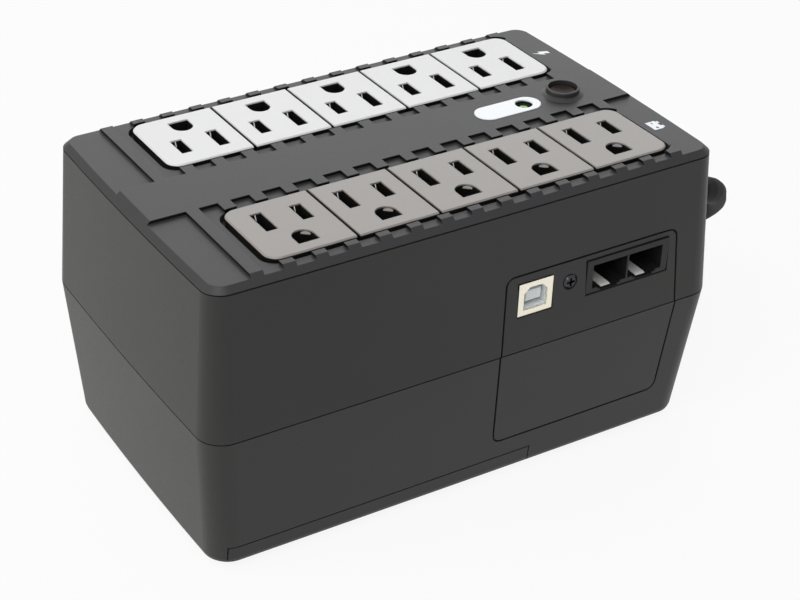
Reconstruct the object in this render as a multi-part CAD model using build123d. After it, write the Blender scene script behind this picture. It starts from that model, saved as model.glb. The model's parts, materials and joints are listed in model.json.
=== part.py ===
from build123d import *
import math
import os

# A desktop uninterruptible power supply with ten NEMA 5-15 outlets. Millimetres throughout.
# Frame: origin on the floor at the centre of the housing's footprint, +X to the right,
# -Y is the long side that carries the ports, +Z up.

# ---------------------------------------------------------------- housing, driving dimensions
FOOT_HEIGHT = 2.0
LOWER_SHELL_HEIGHT = 49.7
UPPER_SHELL_HEIGHT = 48.6
BASE_LENGTH = 178.6
BASE_WIDTH = 104.0
SEAM_LENGTH = 186.0
SEAM_WIDTH = 113.6
TOP_LENGTH = 180.0
TOP_WIDTH = 107.6
END_BOW = 1.0            # how far each short side bulges at its middle
SIDE_BOW = 0.25          # how far each long side bulges at its middle
CORNER_RADIUS = 8.5
TOP_CORNER_RADIUS = 6.5
BASE_EDGE_ROUND = 2.5    # radius of the rounded edge round the underside
BASE_EDGE_BANDS = 3      # facets that make up that edge
WALL = 2.4
SHADOW_GAP = 0.4         # open line between two shells, and round each insert
FIT = 0.15               # clearance between nested pieces that don't move
SLIDE_FIT = 0.2          # clearance round pieces that move
LIP_HEIGHT = 2.0
LIP_THICKNESS = 1.0
LIP_ROOT = 1.0           # how far the lip reaches down into its own wall
SEAT_SETBACK = 1.0       # the cover's seat starts this far in from the outside of the wall

# ---------------------------------------------------------------- top cover
COVER_PLATE = 1.85
CHAMFER_RUN = 2.0
RIB_HEIGHT = 1.05
RIB_WIDTH = 4.15
RIB_PITCH = 10.54
RIB_COUNT = 15
FIRST_RIB_X = -75.2      # left side of the first rib
PLATEAU_WIDTH = 21.0
SKIRT_DEPTH = 4.0
SKIRT_THICKNESS = 1.2

# ---------------------------------------------------------------- outlets
OUTLET_COUNT = 5
OUTLET_PITCH = 28.0
OUTLET_ROW_X = 4.3       # centre of both rows
ROW_INSET = 26.8         # blade line to the cover's long edge
BLADE_LINE_Y = TOP_WIDTH / 2 - ROW_INSET
STRIP_LENGTH = 142.5
STRIP_INNER = 11.0       # blade line to the strip's side that faces the plateau
STRIP_OUTER = 20.2       # blade line to the strip's side that faces the wall
STRIP_CORNER_RADIUS = 4.5
STRIP_DEPTH = 14.0
STRIP_PROUD = 0.1        # above the ribs
STRIP_EDGE = 0.4
STRIP_FLANGE = 2.0
FLANGE_REACH_X = 3.0
FLANGE_REACH_OUT = 2.4
FLANGE_REACH_IN = 3.0
WELL_GAP_SIDE = 1.1
WELL_GAP_END = 1.5
OUTLET_GROOVE_WIDTH = 1.15
OUTLET_GROOVE_DEPTH = 5.0
BLADE_SPACING = 12.7
SLOT_WIDTH = 3.9
HOT_SLOT_LENGTH = 9.1
NEUTRAL_SLOT_LENGTH = 10.9
GROUND_HOLE_WIDTH = 7.1
GROUND_HOLE_LENGTH = 7.1
GROUND_HOLE_START = 8.95  # blade line to the dome of the ground hole
BUS_THICKNESS = 0.8
BUS_END = 6.0            # a bar reaches this far past its first and last contacts
BUS_WIDTH = 2.6
LEAF_THICKNESS = 0.5
LEAF_HEIGHT = 8.0
BLADE_LEAF_LENGTH = 6.0
PIN_LEAF_LENGTH = 4.6
LEAF_MARGIN = 0.3        # leaf to the end of its hole
BLADE_GRIP = 1.4         # free space between the two leaves of a blade contact
PIN_GRIP = 4.6           # free space between the two leaves of a ground contact

# ---------------------------------------------------------------- power button and status light
BUTTON_X = 68.0
BUTTON_Y = 0.0
COLLAR_OUTER_DIAMETER = 11.0
COLLAR_INNER_DIAMETER = 9.6
COLLAR_HEIGHT = 2.45
COLLAR_FLARE = 1.5
COLLAR_RIM_EDGE = 0.4
BUTTON_RECESS = 1.3
BUTTON_DISH = 0.7
BUTTON_RIM = 0.6
BUTTON_TRAVEL = 2.0
GUIDE_DEPTH = 4.0        # guide tube below the underside of the cover
GUIDE_WALL = 1.2
BUTTON_FLANGE = 1.2
BUTTON_FLANGE_REACH = 0.8
PLUNGER_DIAMETER = 4.4
PLUNGER_IN_SWITCH = 2.5
PLUNGER_FLOOR_GAP = 0.4  # left under the plunger at the end of its travel
SWITCH_SIZE = 8.0
SWITCH_HEIGHT = 5.6
LED_X = 52.4
LED_Y = -0.4
LED_DIAMETER = 5.0
LED_HOLE_DIAMETER = 5.8
LED_SINK = 0.8           # top of the lens below the label plate
LED_HEIGHT = 8.0
LED_LEG_SPACING = 2.54
LED_LEG_WIDTH = 0.6
LABEL_X = 46.05
LABEL_Y = -0.5
LABEL_LENGTH = 24.3
LABEL_WIDTH = 9.2
LABEL_THICKNESS = 0.5
LABEL_PROUD = 0.15
SWITCH_BOARD_DROP = 14.6  # underside of the cover to the top of the switch board
SWITCH_BOARD_LENGTH = 46.0
SWITCH_BOARD_WIDTH = 20.0
SWITCH_BOARD_X = 58.0
BOARD_THICKNESS = 1.6
POST_DIAMETER = 5.0

# ---------------------------------------------------------------- port side
PANEL_X = 42.55
PANEL_TOP_WIDTH = 64.7
PANEL_SEAM_WIDTH = 67.3
PANEL_BOTTOM_WIDTH = 63.8
PANEL_TOP = 76.5 + FOOT_HEIGHT
PANEL_BOTTOM = 14.5 + FOOT_HEIGHT
PANEL_CORNER_RADIUS = 3.0
PANEL_THICKNESS = 1.2
PANEL_GROOVE = 0.65
GROOVE_DEPTH = 0.9
USB_X = 20.9
USB_Z = 67.75 + FOOT_HEIGHT
USB_WIDTH = 12.6
USB_HEIGHT = 11.5
USB_DEPTH = 11.9
USB_MOUTH_WIDTH = 8.6
USB_MOUTH_HEIGHT = 7.9
USB_MOUTH_CUT = 2.0      # the two upper corners of the mouth
USB_BACK = 1.4
USB_LINING = 0.35
USB_LINING_FIT = 0.05
USB_LINING_SETBACK = 0.7
USB_TONGUE_WIDTH = 5.6
USB_TONGUE_HEIGHT = 3.6
USB_TONGUE_RISE = 0.2
USB_TONGUE_SETBACK = 1.3
SCREW_X = 33.9
SCREW_Z = 69.1 + FOOT_HEIGHT
SCREW_RECESS_DIAMETER = 5.4
SCREW_HEAD_DIAMETER = 4.6
SCREW_HEAD_HEIGHT = 1.8
SCREW_HEAD_EDGE = 0.5
SCREW_SHANK_DIAMETER = 2.9
SCREW_GRIP = 6.0         # length of thread in a boss
SLOT_CROSS_LENGTH = 3.0  # cross recess in a screw's head
SLOT_CROSS_WIDTH = 0.8
SLOT_CROSS_DEPTH = 0.9
JACK_X = 55.95
JACK_Z = 68.35 + FOOT_HEIGHT
JACK_WIDTH = 31.5
JACK_HEIGHT = 11.9
JACK_DEPTH = 16.0
JACK_OPENING_WIDTH = 13.1
JACK_OPENING_HEIGHT = 8.4
JACK_OPENING_DEPTH = 12.5
JACK_OPENING_SPACING = 13.7
JACK_OPENING_RISE = -0.15  # centre of the openings against the centre of the housing
LATCH_STEP_WIDTH = 8.8   # the latch notch narrows in two steps below the opening
LATCH_STEP_DROP = 0.7
LATCH_NOTCH_WIDTH = 6.6
LATCH_NOTCH_DROP = 1.4
JACK_SPRING_WIDTH = 3.6
JACK_SPRING_THICKNESS = 0.3
JACK_SPRING_SETBACK = 4.2
PORT_FIT = 0.3

# ---------------------------------------------------------------- battery, door and inside
DOOR_RIGHT = 25.3
DOOR_END_INSET = 5.3     # door's left edge in from the housing's base
DOOR_REAR_INSET = 4.0
DOOR_LIP_HEIGHT = 7.1
DOOR_TRAVEL = 12.0
HOOK_COUNT = 3
HOOK_LENGTH = 6.0
HOOK_REACH = 1.4
HOOK_THICKNESS = 1.5
HOOK_ROOT = 1.5          # overlap of a hook on the door plate
GRIP_COUNT = 5           # finger grooves under the door
GRIP_PITCH = 3.0
GRIP_WIDTH = 1.4
GRIP_LENGTH = 28.0
GRIP_DEPTH = 0.7
GRIP_INSET = 14.0
PARTITION_THICKNESS = 1.8
PARTITION_GAP = 1.0      # beyond the door's hooks
PARTITION_END_GAP = 6.0
STOP_RIB_THICKNESS = 1.8
STOP_RIB_Y = 28.0        # two ribs between the partition and the battery's terminal end
STOP_RIB_BOTTOM = 8.0
STOP_RIB_TOP = 40.0
REAR_RIB_X = (-60.0, -30.0, 0.0)
REAR_RIB_MARGIN = 3.0
BATTERY_HEIGHT = 70.0
BATTERY_END_SPACE = 3.7  # battery to the inside of the left wall's base
BATTERY_REAR_SPACE = 3.0
BATTERY_PORT_GAP = 0.4   # battery to the back of the USB socket
TERMINAL_SPACE = 7.5     # battery to the door's right edge
TERMINAL_WIDTH = 6.35
TERMINAL_LENGTH = 6.3
TERMINAL_THICKNESS = 0.8
TERMINAL_INSET_Y = 11.0
TERMINAL_DROP = 12.0
BATTERY_CLEARANCE = 0.3
BOARD_START_GAP = 3.3    # main board to the door's right edge
BOARD_END_GAP = 2.9
BOARD_SIDE_GAP = 2.6
BOARD_EDGE_GAP = 0.6     # round the part of the board that reaches under the USB socket
BOARD_TONGUE_INSET = 8.0
MAIN_BOARD_TOP = USB_Z - USB_HEIGHT / 2
BOSS_DIAMETER = 7.6
BOSS_INSET_X = 10.3      # in from the housing's narrowest section
BOSS_INSET_Y = 16.5
BOSS_ROOT = 1.0
BOSS_TOP_GAP = 12.0
WEB_THICKNESS = 1.8
INNER_POST_GAP = 7.7     # posts beside the battery, from the door's right edge
SCREW_BORE_DIAMETER = 6.4
HOUSING_SCREW_HEAD = 5.6
HOUSING_SCREW_HEAD_HEIGHT = 2.2
HOUSING_SCREW_SEAT = 10.0  # above the underside of the housing
HOUSING_SCREW_GRIP = 15.0
FOOT_DIAMETER = 12.0
FOOT_EDGE = 0.5
FOOT_INSET_X = 13.3
FOOT_INSET_Y = 11.0
SINK_GAP = 5.4           # heat sink to the board's left edge
SINK_Y = 4.0
SINK_BASE = 2.0
SINK_FINS = 6
SINK_FIN_PITCH = 6.0
SINK_FIN_THICKNESS = 1.5
SINK_FIN_REACH = 8.0
SINK_HEIGHT = 20.0
RELAY_X = 46.0
RELAY_LENGTH = 16.0
RELAY_WIDTH = 19.0
RELAY_HEIGHT = 15.0
RELAY_Y = 4.0
RELAY_PITCH = 21.0
LARGE_CAPACITOR = (62.0, -12.0, 18.0, 20.0)  # x, y, diameter, height
SMALL_CAPACITOR = (44.0, -14.0, 12.5, 18.0)
CORE_STACK = 30.0
CORE_WIDTH = 60.0
CORE_HEIGHT = 50.0
CORE_X = 57.0
CORE_LEG = 20.0
CORE_YOKE = 10.0
COIL_OVERHANG = 9.0
BRACKET_THICKNESS = 1.5
BRACKET_FOOT = 10.0
BRACKET_INSET = 6.0
BRACKET_RISE = 35.0      # height of the two upright straps
BRACKET_HOLE = 3.4
WINDING_CORNER = 4.0

# ---------------------------------------------------------------- cord exit and breaker
CORD_DIAMETER = 7.5
CORD_SIDES = 8           # facets round the cord
CORD_EXIT_Y = -24.0
CORD_EXIT_Z = 66.6 + FOOT_HEIGHT
BOOT_COLLAR_DIAMETER = 13.0
BOOT_COLLAR_THICKNESS = 3.0
BOOT_ROOT_DIAMETER = 10.4
BOOT_TIP_DIAMETER = 8.8
BOOT_BEND_RADIUS = 41.4
BOOT_BEND_DEGREES = 50.0
BOOT_ROLL_DEGREES = 42.0  # turns the bend from straight down toward +Y
BOOT_BANDS = 6
FIRST_RUN = 17.0
LAST_RUN = 16.0
COIL_X = 20.0
COIL_Y = 122.0
COIL_FIRST_RADIUS = 51.5
COIL_PITCH = 8.2         # from one turn to the next within a layer
COIL_LAYER_STEP = 8.2    # from the lower layer up to the upper one
COIL_HALF_TURNS = 5      # on each layer; one more climbs between them
PLUG_X = 111.1
PLUG_Y = 100.0
PLUG_HEADING_DEGREES = -72.0
PLUG_WIDTH = 27.0
PLUG_HEIGHT = 26.0
PLUG_LENGTH = 36.0
PLUG_NECK = 12.0
PLUG_FACE_DEPTH = 9.0    # full section up to here, then it narrows
PLUG_GRIP_DEPTH = 22.0
PLUG_GRIP_NARROWING = 5.0
PLUG_CORNER = 5.0
PLUG_GRIP_CORNER = 7.0
PLUG_CORNER_FACETS = 3
BLADE_THICKNESS = 1.5
BLADE_WIDTH = 6.35
BLADE_LENGTH = 17.5
BLADE_LINE_RISE = 5.0
BLADE_TIP_EDGE = 0.3
GROUND_PIN_OFFSET = 11.9
GROUND_PIN_DIAMETER = 4.75
GROUND_PIN_LENGTH = 21.0
GROUND_PIN_TIP_EDGE = 1.4
BREAKER_Y = 14.0
BREAKER_Z = 68.0 + FOOT_HEIGHT
BREAKER_WIDTH = 14.0
BREAKER_NECK_DIAMETER = 10.0
BREAKER_BUTTON_DIAMETER = 6.0
BREAKER_BUTTON_LENGTH = 8.5
BREAKER_BUTTON_PROUD = 0.9  # at rest; a tripped breaker pushes it out a further 3 mm
BREAKER_DEPTH = 22.0
PAD_OUTSIDE = 0.6        # flat pads on the right end, against the drafted wall at their centre
PAD_INSIDE = 0.8
PAD_MARGIN = 2.0

# ---------------------------------------------------------------- levels worked out from the above
FLOOR_Z = FOOT_HEIGHT
INNER_FLOOR_Z = FLOOR_Z + WALL
SEAM_Z = FLOOR_Z + LOWER_SHELL_HEIGHT
WALL_TOP_Z = SEAM_Z + UPPER_SHELL_HEIGHT
COVER_BASE_Z = WALL_TOP_Z + SHADOW_GAP
FIELD_Z = COVER_BASE_Z + COVER_PLATE
RIB_TOP_Z = FIELD_Z + RIB_HEIGHT
STRIP_TOP_Z = RIB_TOP_Z + STRIP_PROUD
STRIP_BOTTOM_Z = STRIP_TOP_Z - STRIP_DEPTH
FLOOR_LINE = CORD_DIAMETER / 2 + 0.05
NARROWEST_LENGTH = min(BASE_LENGTH, SEAM_LENGTH, TOP_LENGTH)
NARROWEST_WIDTH = min(BASE_WIDTH, SEAM_WIDTH, TOP_WIDTH)
REACH = SEAM_LENGTH      # length of the cutting blocks, longer than anything they cut


# Route of the cord between the strain relief and its coil, and between the coil and the plug.
LEAD_POINTS = [(143.5, 6.5, 36.2), (142.9, 20.2, 23.7), (135.3, 33.3, 13.0), (121.7, 43.8, 5.5)]
LEAD_POINTS += [(103.7, 51.9, FLOOR_LINE), (84.0, 59.4, FLOOR_LINE), (63.5, 66.2, FLOOR_LINE)]
PLUG_LEAD_POINTS = [(59.3, 179.5, 10.0), (73.9, 173.0, 8.6), (86.2, 162.7, 9.4)]


def block(x0, x1, y0, y1, z0, z1):
    """Box between two opposite corners."""
    middle = Pos((x0 + x1) / 2, (y0 + y1) / 2, (z0 + z1) / 2)
    return middle * Box(x1 - x0, y1 - y0, z1 - z0)


def rod(diameter, z0, z1, x=0.0, y=0.0):
    """Upright cylinder between two levels."""
    return Pos(x, y, (z0 + z1) / 2) * Cylinder(diameter / 2, z1 - z0)


def rod_y(diameter, x, z, y0, y1):
    """Cylinder along Y."""
    return Pos(x, (y0 + y1) / 2, z) * Rot(90, 0, 0) * Cylinder(diameter / 2, y1 - y0)


def rod_x(diameter, y, z, x0, x1):
    """Cylinder along X."""
    return Pos((x0 + x1) / 2, y, z) * Rot(0, 90, 0) * Cylinder(diameter / 2, x1 - x0)


def cross_recess(depth_z):
    """Cutter for the cross recess of a screw whose head faces -Z at depth_z."""
    bar = Box(SLOT_CROSS_LENGTH, SLOT_CROSS_WIDTH, 2 * SLOT_CROSS_DEPTH)
    return Pos(0, 0, depth_z) * (bar + Rot(0, 0, 90) * bar)


# ---------------------------------------------------------------- the housing's outer form
def level_section(length, width, corner, z, inset):
    """Rounded rectangle with four sides that bow outward, drawn in by inset."""
    x_middle = length / 2 - inset
    y_middle = width / 2 - inset
    x_corner = x_middle - END_BOW
    y_corner = y_middle - SIDE_BOW
    right = ThreePointArc((x_corner, -y_corner), (x_middle, 0), (x_corner, y_corner))
    back = ThreePointArc((x_corner, y_corner), (0, y_middle), (-x_corner, y_corner))
    left = ThreePointArc((-x_corner, y_corner), (-x_middle, 0), (-x_corner, -y_corner))
    front = ThreePointArc((-x_corner, -y_corner), (0, -y_middle), (x_corner, -y_corner))
    outline = make_face([right, back, left, front])
    return Pos(0, 0, z) * fillet(outline.vertices(), corner - inset)


def base_section(inset=0.0):
    return level_section(BASE_LENGTH, BASE_WIDTH, CORNER_RADIUS, FLOOR_Z, inset)


def seam_section(inset=0.0):
    return level_section(SEAM_LENGTH, SEAM_WIDTH, CORNER_RADIUS, SEAM_Z, inset)


def top_section(inset=0.0, z=WALL_TOP_Z):
    return level_section(TOP_LENGTH, TOP_WIDTH, TOP_CORNER_RADIUS, z, inset)


def lower_section(z, inset):
    """Outline of the lower shell at a level, drawn in by inset."""
    share = (z - FLOOR_Z) / LOWER_SHELL_HEIGHT
    length = BASE_LENGTH + (SEAM_LENGTH - BASE_LENGTH) * share
    width = BASE_WIDTH + (SEAM_WIDTH - BASE_WIDTH) * share
    return level_section(length, width, CORNER_RADIUS, z, inset)


def lower_form(inset=0.0):
    """The lower shell's drafted form, drawn in by inset."""
    return loft([base_section(inset), seam_section(inset)], ruled=True)


def rounded_lower_form():
    """The lower shell's outside, with the rounded edge round the underside."""
    sections = []
    for k in range(BASE_EDGE_BANDS + 1):
        angle = math.radians(90 * k / BASE_EDGE_BANDS)
        rise = BASE_EDGE_ROUND * (1 - math.cos(angle))
        sections.append(lower_section(FLOOR_Z + rise, BASE_EDGE_ROUND * (1 - math.sin(angle))))
    return loft(sections + [seam_section()], ruled=True)


def upper_form(inset=0.0):
    """The upper shell's drafted form, drawn in by inset."""
    return loft([seam_section(inset), top_section(inset)], ruled=True)


def front_y(z):
    """Y of the middle of the port side at a level above the seam."""
    share = (z - SEAM_Z) / UPPER_SHELL_HEIGHT
    return -(SEAM_WIDTH + (TOP_WIDTH - SEAM_WIDTH) * share) / 2


def right_end_x(z):
    """X of the middle of the right end at a level above the seam."""
    share = (z - SEAM_Z) / UPPER_SHELL_HEIGHT
    return (SEAM_LENGTH + (TOP_LENGTH - SEAM_LENGTH) * share) / 2


def panel_outline(margin, bottom):
    """Outline of the port panel in the XZ plane, grown by margin; it widens toward the seam."""
    top_half = PANEL_TOP_WIDTH / 2 + margin
    seam_half = PANEL_SEAM_WIDTH / 2 + margin
    bottom_half = PANEL_BOTTOM_WIDTH / 2 + margin
    corners = [(PANEL_X - top_half, PANEL_TOP + margin), (PANEL_X + top_half, PANEL_TOP + margin)]
    corners += [(PANEL_X + seam_half, SEAM_Z), (PANEL_X + bottom_half, bottom)]
    corners += [(PANEL_X - bottom_half, bottom), (PANEL_X - seam_half, SEAM_Z)]
    face = make_face(Polyline(*corners, close=True))
    sharp = face.vertices().filter_by(lambda v: abs(v.Y - SEAM_Z) > 1.0)
    return fillet(sharp, PANEL_CORNER_RADIUS + margin)


def panel_prism(margin):
    """The panel's outline carried through the wall of the port side."""
    outline = panel_outline(margin, PANEL_BOTTOM - margin)
    upright = Plane.XZ * outline
    return Pos(0, port_cut_back(), 0) * extrude(upright, SEAM_WIDTH)


def port_cut_back():
    """Y at which every cut through the port side ends, inside the wall at any level."""
    return 2 * WALL - NARROWEST_WIDTH / 2


# ---------------------------------------------------------------- battery door region
def door_left():
    return DOOR_END_INSET - BASE_LENGTH / 2


def door_rear():
    return BASE_WIDTH / 2 - DOOR_REAR_INSET


def door_region(gap):
    """The part of the shell that leaves with the door, grown by gap: bottom plate and front lip."""
    left = door_left() - gap
    right = DOOR_RIGHT + gap
    plate = block(left, right, -SEAM_WIDTH, door_rear() + gap, 0, INNER_FLOOR_Z)
    lip_inside = -BASE_WIDTH / 2 + 2 * WALL
    lip_top = FLOOR_Z + DOOR_LIP_HEIGHT + gap
    lip = block(left, right, -SEAM_WIDTH, lip_inside, 0, lip_top)
    return plate + lip


def hook_positions():
    """Front end of each door hook, spread along the door's two long edges."""
    first = -BASE_WIDTH / 2 + DOOR_TRAVEL + 3 * HOOK_LENGTH
    last = door_rear() - 2 * HOOK_LENGTH
    step = (last - first) / (HOOK_COUNT - 1)
    return [first + step * k for k in range(HOOK_COUNT)]


def door_hooks():
    hooks = []
    reach = SHADOW_GAP + HOOK_REACH
    z0 = INNER_FLOOR_Z
    z1 = z0 + HOOK_THICKNESS
    for y in hook_positions():
        hooks.append(block(door_left() - reach, door_left() + HOOK_ROOT, y, y + HOOK_LENGTH, z0, z1))
        hooks.append(block(DOOR_RIGHT - HOOK_ROOT, DOOR_RIGHT + reach, y, y + HOOK_LENGTH, z0, z1))
    return hooks


def hook_notches():
    """Notches in the bottom wall that let the hooks drop out once the door has slid forward."""
    notches = []
    reach = HOOK_REACH + 2 * SHADOW_GAP
    for y in hook_positions():
        front = y - DOOR_TRAVEL - SLIDE_FIT
        back = y - DOOR_TRAVEL + HOOK_LENGTH + SLIDE_FIT
        notches.append(block(door_left() - reach, door_left(), front, back, 0, INNER_FLOOR_Z))
        notches.append(block(DOOR_RIGHT, DOOR_RIGHT + reach, front, back, 0, INNER_FLOOR_Z))
    return notches


def bottomed_shell():
    """Lower shell before anything is cut from it."""
    outside = rounded_lower_form()
    cavity = lower_form(WALL) - block(-REACH, REACH, -REACH, REACH, 0, INNER_FLOOR_Z)
    top_trim = block(-REACH, REACH, -REACH, REACH, SEAM_Z - SHADOW_GAP / 2, SEAM_Z + 1)
    return outside - cavity - top_trim


def seam_ring(outer_inset, inner_inset, z0, z1):
    """Upright ring that follows the seam's outline."""
    outer = Pos(0, 0, z0 - SEAM_Z) * seam_section(outer_inset)
    inner = Pos(0, 0, z0 - SEAM_Z) * seam_section(inner_inset)
    return extrude(outer - inner, z1 - z0, dir=(0, 0, 1))


def panel_clearance():
    """Keeps the seam's lip away from the port panel."""
    half = PANEL_SEAM_WIDTH / 2 + 2 * WALL
    return block(PANEL_X - half, PANEL_X + half, -SEAM_WIDTH, -SEAM_WIDTH / 2 + 2 * WALL, 0, WALL_TOP_Z)


def boss_places():
    """X of the housing screws, X of the posts beside the battery, Y of both on either side."""
    boss_x = NARROWEST_LENGTH / 2 - BOSS_INSET_X
    return boss_x, DOOR_RIGHT + INNER_POST_GAP, NARROWEST_WIDTH / 2 - BOSS_INSET_Y


def housing_ribs():
    """Partition beside the battery, two stop ribs on it and three ribs on the rear wall."""
    near = DOOR_RIGHT + SHADOW_GAP + HOOK_REACH + PARTITION_GAP
    far = near + PARTITION_THICKNESS
    half_width = BASE_WIDTH / 2 - PARTITION_END_GAP
    ribs = block(near, far, -half_width, half_width, INNER_FLOOR_Z, SEAM_Z)
    _, battery_right, _, battery_back = battery_space()
    half = STOP_RIB_THICKNESS / 2
    z0 = INNER_FLOOR_Z + STOP_RIB_BOTTOM
    z1 = INNER_FLOOR_Z + STOP_RIB_TOP
    for y in (-STOP_RIB_Y, STOP_RIB_Y):
        ribs += block(battery_right, near + PARTITION_THICKNESS / 2, y - half, y + half, z0, z1)
    z0 = INNER_FLOOR_Z + REAR_RIB_MARGIN
    z1 = SEAM_Z - REAR_RIB_MARGIN
    for x in REAR_RIB_X:
        rear_rib = block(x - half, x + half, battery_back, SEAM_WIDTH / 2, z0, z1)
        ribs += rear_rib & lower_form(WALL / 2)
    return ribs


def lower_housing():
    lip = seam_ring(WALL - LIP_THICKNESS, WALL, SEAM_Z - LIP_ROOT, SEAM_Z + LIP_HEIGHT)
    groove = panel_prism(PANEL_GROOVE) - panel_prism(0)
    groove = groove & block(0, REACH, -SEAM_WIDTH, 0, 0, SEAM_Z)
    groove = groove - lower_form(GROOVE_DEPTH)
    shell = bottomed_shell() + (lip - panel_clearance()) - groove - door_region(SHADOW_GAP) - hook_notches()
    shell += housing_ribs()
    boss_x, post_x, boss_y = boss_places()
    board_bottom = MAIN_BOARD_TOP - BOARD_THICKNESS
    for x in (post_x, boss_x):
        for y in (-boss_y, boss_y):
            shell += rod(BOSS_DIAMETER, FLOOR_Z + BOSS_ROOT, board_bottom, x, y)
    for y in (-boss_y, boss_y):
        shell -= rod(SCREW_BORE_DIAMETER, 0, FLOOR_Z + HOUSING_SCREW_SEAT, boss_x, y)
        shell -= rod(SCREW_SHANK_DIAMETER, 0, MAIN_BOARD_TOP, boss_x, y)
    return shell


def battery_door():
    body = bottomed_shell() & door_region(0)
    for hook in door_hooks():
        body += hook
    grip_x = (door_left() + DOOR_RIGHT) / 2
    for k in range(GRIP_COUNT):
        y = -BASE_WIDTH / 2 + GRIP_INSET + GRIP_PITCH * k
        left = grip_x - GRIP_LENGTH / 2
        body -= block(left, left + GRIP_LENGTH, y, y + GRIP_WIDTH, 0, FLOOR_Z + GRIP_DEPTH)
    return body


def upper_housing():
    shell = upper_form() - upper_form(WALL)
    shell -= block(-REACH, REACH, -REACH, REACH, SEAM_Z - 1, SEAM_Z + SHADOW_GAP / 2)
    rebate_inset = WALL - LIP_THICKNESS - FIT
    rebate = seam_ring(rebate_inset, WALL + 1, SEAM_Z, SEAM_Z + LIP_HEIGHT) - panel_clearance()
    shell -= rebate
    seat = top_section(SEAT_SETBACK) - top_section(WALL)
    shell += extrude(seat, SHADOW_GAP, dir=(0, 0, 1))
    pocket = panel_prism(PANEL_GROOVE / 2) - upper_form(PANEL_THICKNESS)
    shell -= pocket & block(0, REACH, -REACH, 0, SEAM_Z - 1, WALL_TOP_Z)
    shell -= port_window(USB_X, USB_Z, USB_WIDTH, USB_HEIGHT)
    shell -= port_window(JACK_X, JACK_Z, JACK_WIDTH, JACK_HEIGHT)
    wall_inside = front_y(SCREW_Z) + WALL
    boss_end = wall_inside + SCREW_GRIP
    shell += rod_y(BOSS_DIAMETER, SCREW_X, SCREW_Z, wall_inside - WALL / 4, boss_end + BOSS_ROOT)
    shell -= rod_y(SCREW_SHANK_DIAMETER, SCREW_X, SCREW_Z, front_y(SCREW_Z), boss_end)
    boss_x, _, boss_y = boss_places()
    boss_top = WALL_TOP_Z - BOSS_TOP_GAP
    half = WEB_THICKNESS / 2
    for y in (-boss_y, boss_y):
        boss = rod(BOSS_DIAMETER, MAIN_BOARD_TOP, boss_top, boss_x, y)
        web = block(boss_x, REACH, y - half, y + half, MAIN_BOARD_TOP, boss_top)
        shell += (boss + web) & upper_form(WALL / 2)
        screw_end = MAIN_BOARD_TOP + HOUSING_SCREW_GRIP
        shell -= rod(SCREW_SHANK_DIAMETER, MAIN_BOARD_TOP, screw_end, boss_x, y)
    shell += end_pad(BOOT_COLLAR_DIAMETER + PAD_MARGIN, CORD_EXIT_Y, CORD_EXIT_Z)
    shell += end_pad(BREAKER_NECK_DIAMETER + 2 * PAD_MARGIN, BREAKER_Y, BREAKER_Z)
    shell -= rod_x(BOOT_ROOT_DIAMETER, CORD_EXIT_Y, CORD_EXIT_Z, SEAM_LENGTH / 4, REACH)
    shell -= rod_x(BREAKER_NECK_DIAMETER, BREAKER_Y, BREAKER_Z, SEAM_LENGTH / 4, REACH)
    return shell


def port_window(x, z, width, height):
    """Opening for a connector through the port side."""
    half_width = width / 2 + PORT_FIT
    half_height = height / 2 + PORT_FIT
    return block(x - half_width, x + half_width, -SEAM_WIDTH, port_cut_back(),
                 z - half_height, z + half_height)


def port_panel():
    plate = panel_prism(-PANEL_GROOVE / 2) & (upper_form() - upper_form(PANEL_THICKNESS))
    plate -= block(-REACH, REACH, -REACH, REACH, SEAM_Z - 1, SEAM_Z + SHADOW_GAP / 2)
    plate -= port_window(USB_X, USB_Z, USB_WIDTH, USB_HEIGHT)
    plate -= port_window(JACK_X, JACK_Z, JACK_WIDTH, JACK_HEIGHT)
    plate -= rod_y(SCREW_SHANK_DIAMETER + FIT, SCREW_X, SCREW_Z, -SEAM_WIDTH, 0)
    recess_floor = front_y(SCREW_Z) + PANEL_THICKNESS / 2
    plate -= rod_y(SCREW_RECESS_DIAMETER, SCREW_X, SCREW_Z, -SEAM_WIDTH, recess_floor)
    return plate


def panel_screw():
    seat = front_y(SCREW_Z) + PANEL_THICKNESS / 2
    head_face = seat - SCREW_HEAD_HEIGHT / 2
    head = rod_y(SCREW_HEAD_DIAMETER, SCREW_X, SCREW_Z, head_face, seat)
    head = chamfer(head.edges().group_by(Axis.Y)[0], SCREW_HEAD_EDGE)
    screw = head + rod_y(SCREW_SHANK_DIAMETER, SCREW_X, SCREW_Z, seat, front_y(SCREW_Z) + WALL + SCREW_GRIP)
    recess = Pos(SCREW_X, head_face, SCREW_Z) * Rot(90, 0, 0) * cross_recess(0)
    return screw - recess


# ---------------------------------------------------------------- top cover
def cover_envelope():
    """Outer form of the cover up to the top of the ribs, with its chamfered rim."""
    full_run = CHAMFER_RUN * (RIB_TOP_Z - COVER_BASE_Z) / COVER_PLATE
    return loft([top_section(0, COVER_BASE_Z), top_section(full_run, RIB_TOP_Z)], ruled=True)


def well(side):
    """Opening in the cover round one outlet strip; side is 1 for the back row, -1 for the front."""
    half_length = STRIP_LENGTH / 2
    near = BLADE_LINE_Y - STRIP_INNER - WELL_GAP_SIDE
    far = BLADE_LINE_Y + STRIP_OUTER + WELL_GAP_SIDE
    opening = Rectangle(2 * half_length + 2 * WELL_GAP_END, far - near)
    opening = fillet(opening.vertices(), STRIP_CORNER_RADIUS + WELL_GAP_SIDE)
    placed = Pos(OUTLET_ROW_X, side * (near + far) / 2, COVER_BASE_Z - 2 * SKIRT_DEPTH) * opening
    return extrude(placed, 4 * SKIRT_DEPTH, dir=(0, 0, 1))


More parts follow.
